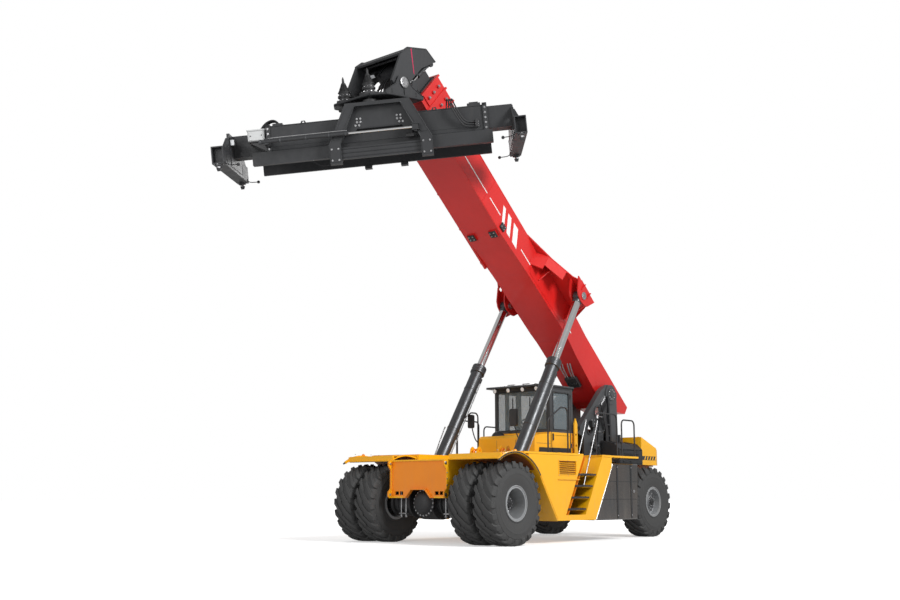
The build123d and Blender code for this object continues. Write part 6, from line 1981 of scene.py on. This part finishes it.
@dataclass
class SideBodies:
    """Louvre panels, step risers and treads, deck plate, tanks and the stair's bright rods."""

    treads: tuple[float, ...] = (0.69, 0.925, 1.16, 1.395)

    @staticmethod
    def stair_x(z: float) -> float:
        """Front edge of the stair well at height z."""
        return -1.7 - 0.57 * (z - 0.56)

    def build(self) -> None:
        """Build both sides."""
        for side, label in SIDES:
            self.build_louvres(side, label)
            self.build_steps(side, label)
            self.build_tank(side, label)
            self.build_rails(side, label)
        self.build_deck()

    def build_louvres(self, side: int, label: str) -> None:
        """Panel behind the slats and the slats, brown-orange as painted shade of the recess, its frame and
        fixings.
        """
        # painted shade: panel and slats are brown-orange for the yellow in shade behind the frame
        Mesher(f"{label}_louvre_panel", MACHINE).box((-2.086, side * 2.0195, 1.374),
            (-1.484, side * 2.0225, 1.636), 0.001).finish(Finish.PAINTED_SHADE_BROWN)
        slats = Mesher(f"{label}_louvre_slats", MACHINE)
        for level in range(12):
            z = 1.384 + 0.0208 * level
            slats.prism([(side * 2.024, z + 0.016), (side * 2.026, z + 0.018), (side * 2.043, z + 0.004),
                (side * 2.041, z + 0.001)], -2.084, -1.486, "x")
        slats.finish(Finish.PAINTED_SHADE_BROWN)
        frame_bars = Mesher(f"{label}_louvre_frame", MACHINE)
        for low, high in (((-2.118, 1.345), (-1.452, 1.37)), ((-2.118, 1.64), (-1.452, 1.665)),
                ((-2.118, 1.37), (-2.09, 1.64)), ((-1.48, 1.37), (-1.452, 1.64))):
            frame_bars.box((low[0], side * 2.0502, low[1]), (high[0], side * 2.0575, high[1]), 0.002)
        frame_bars.box((-2.2, side * 2.0502, 1.262), (-1.42, side * 2.074, 1.276), 0.003)
        frame_bars.finish(Finish.YELLOW)
        bolts = Mesher(f"{label}_louvre_bolts", MACHINE)
        turn = OUTWARD[side]
        for x in (-2.104, -1.785, -1.466):
            for z in (1.357, 1.652):
                bolts.take(hexagon_bolt(0.016), at((x, side * 2.0578, z)) @ turn)
        bolts.finish(Finish.STEEL)

    def build_steps(self, side: int, label: str) -> None:
        """Risers and sheets in the stair well, orange as painted shade of the yellow body, and grip strips on
        the treads.
        """
        risers = Mesher(f"{label}_step_risers", MACHINE)
        levels = (0.562, *self.treads, 1.752)
        for low, high in zip(levels, levels[1:]):
            top = high - 0.037 if high < 1.7 else high
            risers.prism([(self.stair_x(low) - 0.1, low + 0.002), (self.stair_x(low) - 0.112, low + 0.002),
                (self.stair_x(top) - 0.112, top), (self.stair_x(top) - 0.1, top)], side * 1.424, side * 2.034)
        risers.prism([(self.stair_x(0.562) - 0.004, 0.562), (self.stair_x(0.562) - 0.716, 0.562),
            (self.stair_x(1.75) - 0.716, 1.75), (self.stair_x(1.75) - 0.004, 1.75)], side * 1.4205,
            side * 1.4235)
        # painted shade: risers and the well's sheet are orange for the yellow in shade inside the recess
        risers.finish(Finish.ORANGE_AND_PAINTED_SHADE)
        grips = Mesher(f"{label}_tread_grips", MACHINE)
        for tread in self.treads:
            front = self.stair_x(tread) - 0.004
            grips.box((front + 0.0255, side * 1.424, tread - 0.04), (front + 0.04, side * 2.036,
                tread + 0.002), 0.004)
            tooth = Mesher("tooth")
            tooth.box((-0.011, -0.01, 0), (0.011, 0.01, 0.007), 0.002)
            part = tooth.raw()
            for row in range(9):
                grips.take(Repeater.row(part, Finish.BLACK, 14, (0, 0.042, 0)),
                    at((front - 0.05 - 0.068 * row, side * 1.73 - 0.273, tread + 0.0005)))
            bpy.data.meshes.remove(part)
        grips.finish(Finish.BLACK)

    def build_tank(self, side: int, label: str) -> None:
        """Straps, seams, filler cap and gauge on a tank."""
        made = Mesher(f"{label}_tank_fittings", MACHINE)
        for x in (-3.78, -4.36):
            made.box((x - 0.028, side * 1.9915, 0.46), (x + 0.028, side * 1.998, 1.61), 0.002)
        for z in (0.86, 1.24):
            made.box((-4.6, side * 1.9905, z), (-3.45 + (0.3 if z < 1.0 else 0), side * 1.994, z + 0.01),
                0.001)
        made.turned((-4.2, side * 1.655, 1.652), UP, [(0, 0.062), (0.022, 0.066), (0.03, 0.058)], 28)
        made.finish(Finish.CHARCOAL)
        bright = Mesher(f"{label}_tank_gauge", MACHINE)
        bright.turned((-4.46, side * 1.9915, 1.04), (0, side, 0), [(0, 0.036), (0.01, 0.036), (0.013, 0.026),
            (0.02, 0.024)], 24)
        for x in (-3.78, -4.36):
            for z in (0.52, 1.55):
                bright.take(hexagon_bolt(0.026), at((x, side * 1.9985, z)) @ OUTWARD[side])
        bright.finish(Finish.STEEL)

    def build_rails(self, side: int, label: str) -> None:
        """Bright grab rods that lean over the stair."""
        made = Mesher(f"{label}_stair_rods", MACHINE)
        for shift in (0, 0.44):
            made.pipe([(-1.98 - shift, side * 2.02, 1.165), (-2.02 - shift, side * 2.012, 1.25),
                (-2.6 - shift, side * 1.965, 2.42), (-2.64 - shift, side * 1.945, 2.5)], 0.014, 12, 5)
            made.box((-1.955 - shift, side * 2.005, 1.125), (-2.005 - shift, side * 2.036, 1.175), 0.004)
        made.finish(Finish.STEEL)

    def build_deck(self) -> None:
        """Tread plates on the walkways, and lugs with their pins and rings behind the front deck."""
        plates = Mesher("walkway_plates", MACHINE)
        for _ in plates.sides():
            plates.box((-0.32, 1.28, 1.8005), (-1.15, 2.02, 1.8045), 0.001)
            plates.box((-1.8, 1.28, 1.8005), (-2.36, 1.4, 1.8045), 0.001)
            plates.box((-3.14, 1.3, 1.8005), (-3.46, 2.02, 1.8045), 0.001)
            plates.box((-3.49, 0.86, 1.8005), (-4.68, 1.97, 1.8045), 0.001)
        plates.finish(Finish.DECK)
        lugs = Mesher("deck_lugs", MACHINE)
        rings = Mesher("deck_rings", MACHINE)
        for _ in lugs.sides(rings):
            for y in (0.28, 0.46):
                lugs.prism([(-2.02, 1.662), (-1.66, 1.662), (-1.72, 1.7), (-1.78, 1.96), (-1.84, 2.0),
                    (-1.9, 1.96), (-1.96, 1.7)], y, y + 0.035, "y", 0.004)
            rings.rod((-1.84, 0.26, 1.925), (-1.84, 0.51, 1.925), 0.026, 24)
            profile = [(0.02 * sin(turn), 0.075 + 0.022 * cos(turn)) for turn in turns(12)]
            rings.turned((-1.84, 0.388, 1.86), LEFT, profile, 36, hollow=True)
        lugs.finish(Finish.YELLOW)
        rings.finish(Finish.ORANGE_AND_PAINTED_SHADE)


# ---------------------------------------- rear
@dataclass
class Tower:
    """Hoses, pipes, trays and pin covers on the boom tower."""

    face: float = 0.556
    pivot: tuple[float, float] = (-5.9, 3.36)

    def build(self) -> None:
        """Build both sides."""
        self.build_pins()
        self.build_pipes()
        self.build_tray()
        self.build_hoses()

    def build_pins(self) -> None:
        """Pin covers, lock plates and bolts at the boom's foot."""
        made = Mesher("foot_pin_covers", MACHINE)
        bolts = Mesher("foot_pin_bolts", MACHINE)
        x, z = self.pivot
        for side in made.sides():
            made.turned((x, 0.581, z), LEFT, [(0, 0.15), (0.016, 0.15), (0.022, 0.14), (0.024, 0.062),
                (0.036, 0.058), (0.04, 0.048)], 40)
            made.prism([(x - 0.24, z - 0.06), (x - 0.12, z - 0.1), (x - 0.12, z + 0.1),
                (x - 0.24, z + 0.06)], 0.581, 0.597, "y", 0.003)
            ring = bolt_ring(10, 0.118, 0.03)
            bolts.take(ring, at((x, side * 0.604, z)) @ OUTWARD[side])
        made.finish(Finish.GREY)
        bolts.finish(Finish.STEEL)

    def build_pipes(self) -> None:
        """Rigid pipes with clamps that run down the tower's outer face, and valve blocks."""
        dark = Mesher("tower_pipes", MACHINE)
        bright = Mesher("tower_pipe_clamps", MACHINE)
        for _ in dark.sides(bright):
            for step in range(5):
                shift = 0.046 * step
                dark.pipe([(-5.32 - shift, self.face + 0.03, 3.02), (-5.36 - shift, self.face + 0.03, 2.62),
                    (-5.28 - shift, self.face + 0.03, 2.3), (-5.28 - shift, self.face + 0.03, 1.72)], 0.014)
            for z in (2.78, 2.42, 2.02):
                lean = -5.34 if z > 2.5 else -5.31 if z > 2.2 else -5.28
                bright.box((lean + 0.022, self.face + 0.004, z), (lean - 0.206, self.face + 0.05, z + 0.03),
                    0.004)
            for x, z in ((-5.18, 2.02), (-5.12, 2.52)):
                dark.box((x, self.face, z), (x + 0.2, self.face + 0.12, z + 0.16), 0.01)
                for knob in (0.05, 0.15):
                    bright.turned((x + knob, self.face + 0.12, z + 0.08), LEFT,
                        [(0, 0.026), (0.012, 0.026), (0.016, 0.018), (0.034, 0.018)], 6)
                    bright.turned((x + knob, self.face + 0.06, z + 0.16), UP,
                        [(0, 0.022), (0.012, 0.022), (0.016, 0.015), (0.03, 0.015)], 6)
        dark.finish(Finish.GUNMETAL)
        bright.finish(Finish.STEEL)

    def build_tray(self) -> None:
        """Channel that carries the hose bundle down the tower, with its rungs."""
        tray = Mesher("hose_tray", MACHINE)
        for _ in tray.sides():
            tray.prism([(-5.66, 3.3), (-5.72, 3.3), (-5.78, 2.6), (-5.78, 1.7), (-5.72, 1.7), (-5.72, 2.6)],
                (self.face + 0.0005), self.face + 0.085, "y", 0.004)
            for z in (1.82, 2.08, 2.34, 2.6):
                tray.box((-5.72, self.face + 0.07, z), (-5.52, self.face + 0.084, z + 0.035), 0.004)
                tray.box((-5.535, self.face, z), (-5.52, self.face + 0.084, z + 0.035), 0.003)
        tray.finish(Finish.CHARCOAL)

    def build_hoses(self) -> None:
        """Hoses that loop from the tower's top to its foot, five a side."""
        fittings = Mesher("tower_hose_ends")
        for side, label in SIDES:
            for index in range(5):
                shift = 0.04 * index
                y = side * (self.face + 0.02)
                Hose(f"{label}_tower_hose_{index + 1}", "chassis", 0.034, 1.7 - 0.04 * index,
                    ((-5.62 + shift, y, 3.26 - shift), (-5.6 + shift, y + side * 0.03, 3.16 - shift),
                    (-5.46 + shift * 0.9, y + side * 0.14, 3.02 - shift * 0.8),
                    (-5.38 + shift * 0.6, y + side * 0.15, 2.78), (-5.56 + shift * 0.5, y + side * 0.1,
                    2.52), (-5.62 + shift * 0.5, y + side * 0.07, 2.24), (-5.62 + shift * 0.5,
                    y + side * 0.03, 1.98), (-5.62 + shift * 0.5, y, 1.7))).build(MACHINE.place, fittings)
        fittings.finish(Finish.STEEL, "chassis")


@dataclass
class Hood:
    """Hood louvres, the door's latch, roof trim, and pipes and a filter on the engine."""

    def build(self) -> None:
        """Build the pieces."""
        fixed = Mesher("hood_louvres", MACHINE)
        door = Mesher("hood_door_louvres", MACHINE)
        for level in range(4):
            z = 1.79 + 0.04 * level
            for made, out in ((fixed, -1), (door, 1)):
                made.prism([(out * 1.1305, z - 0.001), (out * 1.1305, z + 0.02), (out * 1.148, z + 0.004)],
                    -6.19, -5.51, "x")
        door.turned((-5.5, 1.13, 1.74), LEFT, [(0, 0.022), (0.01, 0.022), (0.013, 0.012), (0.018, 0.012)], 18)
        fixed.finish(Finish.CHARCOAL)
        door.finish(Finish.CHARCOAL, "hood_door")
        trim = Mesher("hood_trim", MACHINE)
        for _ in trim.sides():
            for x in (-6.355, -6.02, -5.67, -5.335):
                trim.prism([(1.002, 2.152), (0.645, 2.222), (0.645, 2.232), (1.004, 2.162)], x - 0.01,
                    x + 0.01, "x")
            trim.box((-6.3, 0.83, 2.186), (-5.98, 0.7, 2.2), 0.002)
        trim.finish(Finish.BLACK)
        pipes = Mesher("engine_lines", MACHINE)
        for _ in pipes.sides():
            pipes.pipe([(-4.8, 0.3, 2.332), (-4.8, 0.3, 2.42), (-5.1, 0.32, 2.46), (-5.6, 0.3, 2.44),
                (-5.6, 0.3, 2.334)], 0.045, 16, 6)
        pipes.turned((-5.3, 0, 2.332), UP, [(0, 0.13), (0.02, 0.13), (0.03, 0.115), (0.2, 0.115),
            (0.22, 0.09), (0.23, 0.03)], 32)
        pipes.finish(Finish.GUNMETAL)


@dataclass
class Counterweight:
    """Band with slanted marks, rear lamps and the frame under the overhang, brown-orange as painted shade."""

    rear: float = -7.3

    def build(self) -> None:
        """Build the pieces."""
        band = Mesher("counterweight_band", MACHINE)
        marks = Mesher("counterweight_marks", MACHINE)
        for side in (1, -1):
            y = side * 1.1005
            band.box((-6.385, y, 1.79), (-7.07, side * 1.1035, 1.885), 0.001)
            for step in range(5):
                x = -6.5 - 0.125 * step
                marks.prism([(x, 1.796), (x - 0.045, 1.796), (x - 0.085, 1.879), (x - 0.04, 1.879)],
                    side * 1.1037, side * 1.1055, "y")
        band.box((self.rear + 0.0005, -0.9, 1.79), (self.rear - 0.0025, 0.9, 1.885), 0.001)
        for step in range(11):
            y = -0.82 + 0.16 * step
            marks.prism([(y, 1.796), (y + 0.05, 1.796), (y + 0.09, 1.879), (y + 0.04, 1.879)],
                self.rear - 0.0028, self.rear - 0.0042, "x")
        band.finish(Finish.BLACK)
        marks.finish(Finish.YELLOW)
        lamps = Mesher("rear_lamp_bodies", MACHINE)
        red = Mesher("rear_lamp_lenses", MACHINE)
        amber = Mesher("rear_turn_lenses", MACHINE)
        for _ in lamps.sides(red, amber):
            lamps.box((self.rear + 0.012, 0.56, 1.925), (self.rear - 0.004, 0.84, 1.955), 0.006)
            red.box((self.rear - 0.003, 0.57, 1.93), (self.rear - 0.007, 0.7, 1.95), 0.002)
            amber.box((self.rear - 0.003, 0.71, 1.93), (self.rear - 0.007, 0.83, 1.95), 0.002)
        lamps.finish(Finish.BLACK)
        red.finish(Finish.SIGNAL_RED)
        amber.finish(Finish.AMBER)
        # painted shade: the frame under the overhang is brown-orange for the yellow in shade
        frame_piece = Mesher("counterweight_frame", MACHINE)
        for _ in frame_piece.sides():
            frame_piece.box((-6.4, 1.0, 1.64), (-7.1, 0.52, 1.668), 0.006)
            frame_piece.box((-6.42, 0.96, 1.56), (-6.98, 0.9, 1.642), 0.006)
        frame_piece.finish(Finish.PAINTED_SHADE_BROWN)
ASSEMBLIES = (LoadEnd, WheelSet, Boom, BoomHead, Cylinders, Cab, Fenders, FrontPlate, Axles, SideBodies,
    Tower, Hood, Counterweight)


# ---------------------------------------- studio
@dataclass
class Studio:
    """Floor, soft lights, white surroundings and the camera."""

    eye: Point = (17.098, 14.76, 0.971)
    look: Point = (-0.7547, -0.633, 0.1742)
    lens: float = 43.96
    floor_size: float = 260.0

    def build(self) -> None:
        """Build the studio."""
        self.build_floor()
        self.build_world()
        self.build_light("key_light", (2.0, 21.0, 16.0), (0, 0, 3.0), 7.0, 5000.0)
        self.build_light("front_fill", (21.0, 2.0, 9.0), (0, 0, 3.0), 9.0, 1250.0)
        self.build_light("back_rim", (-15.0, -9.0, 14.0), (0, 0, 4.0), 7.0, 1100.0)
        data = bpy.data.cameras.new("camera")
        data.lens = self.lens
        data.clip_end = 400.0
        camera = bpy.data.objects.new("camera", data)
        camera.location = MACHINE.place @ Vector(self.eye)
        camera.rotation_euler = Vector(self.look).to_track_quat("-Z", "Y").to_euler()
        bpy.context.scene.collection.objects.link(camera)
        bpy.context.scene.camera = camera
        bpy.context.scene.view_settings.view_transform = "Standard"

    def build_floor(self) -> None:
        """A plain pale floor that goes white away from the machine."""
        half = self.floor_size / 2
        data = bpy.data.meshes.new("studio_floor")
        data.from_pydata([(-half, -half, 0), (half, -half, 0), (half, half, 0), (-half, half, 0)], [],
            [(0, 1, 2, 3)])
        floor = bpy.data.objects.new("studio_floor", data)
        bpy.context.scene.collection.objects.link(floor)
        tree = Tree("studio_floor")
        reach = tree.add("ShaderNodeVectorMath", "Value", {0: tree.place}, operation="LENGTH")
        seen = tree.add("ShaderNodeLightPath", "Is Camera Ray")
        glow = tree.math("MULTIPLY", tree.ramp(reach, 7.0, 24.0, 0.42, 1.05),
            tree.ramp(seen, 0, 1.0, 0.35, 1.0))
        colour = tree.mix(seen, (0.42, 0.42, 0.42), (0.82, 0.82, 0.82))
        tree.set(Base_Color=colour, Roughness=0.95, Emission_Color=(1.0, 1.0, 1.0), Emission_Strength=glow,
            Specular_IOR_Level=0)
        data.materials.append(tree.material)

    @staticmethod
    def build_world() -> None:
        """White to the camera, softer as light."""
        world = bpy.data.worlds.new("studio")
        world.use_nodes = True
        tree = world.node_tree
        tree.nodes.clear()
        soft = add_node(tree, "ShaderNodeBackground", {"Color": (1.0, 1.0, 1.0), "Strength": 0.42})
        white = add_node(tree, "ShaderNodeBackground", {"Color": (1.0, 1.0, 1.0)})
        path = add_node(tree, "ShaderNodeLightPath")
        mix = add_node(tree, "ShaderNodeMixShader", {0: path.outputs["Is Camera Ray"], 1: soft.outputs[0],
            2: white.outputs[0]})
        add_node(tree, "ShaderNodeOutputWorld", {0: mix.outputs[0]})
        bpy.context.scene.world = world

    @staticmethod
    def build_light(name: str, place: Point, target: Point, size: float, power: float) -> None:
        """Add a square soft light.

        Args:
            name: the light's name.
            place: where it hangs.
            target: what it points at.
            size: its side in metres.
            power: its power in watts.
        """
        data = bpy.data.lights.new(name, "AREA")
        data.size = size
        data.energy = power
        light = bpy.data.objects.new(name, data)
        light.location = place
        light.rotation_euler = (Vector(target) - Vector(place)).to_track_quat("-Z", "Y").to_euler()
        bpy.context.scene.collection.objects.link(light)


def main() -> None:
    """Dress the CAD nodes, build every sub-assembly and the studio."""
    logging.basicConfig(level=logging.INFO, format="%(message)s")
    dress_cad_nodes()
    for assembly in ASSEMBLIES:
        assembly().build()
    Studio().build()


if __name__ == "__main__":
    main()
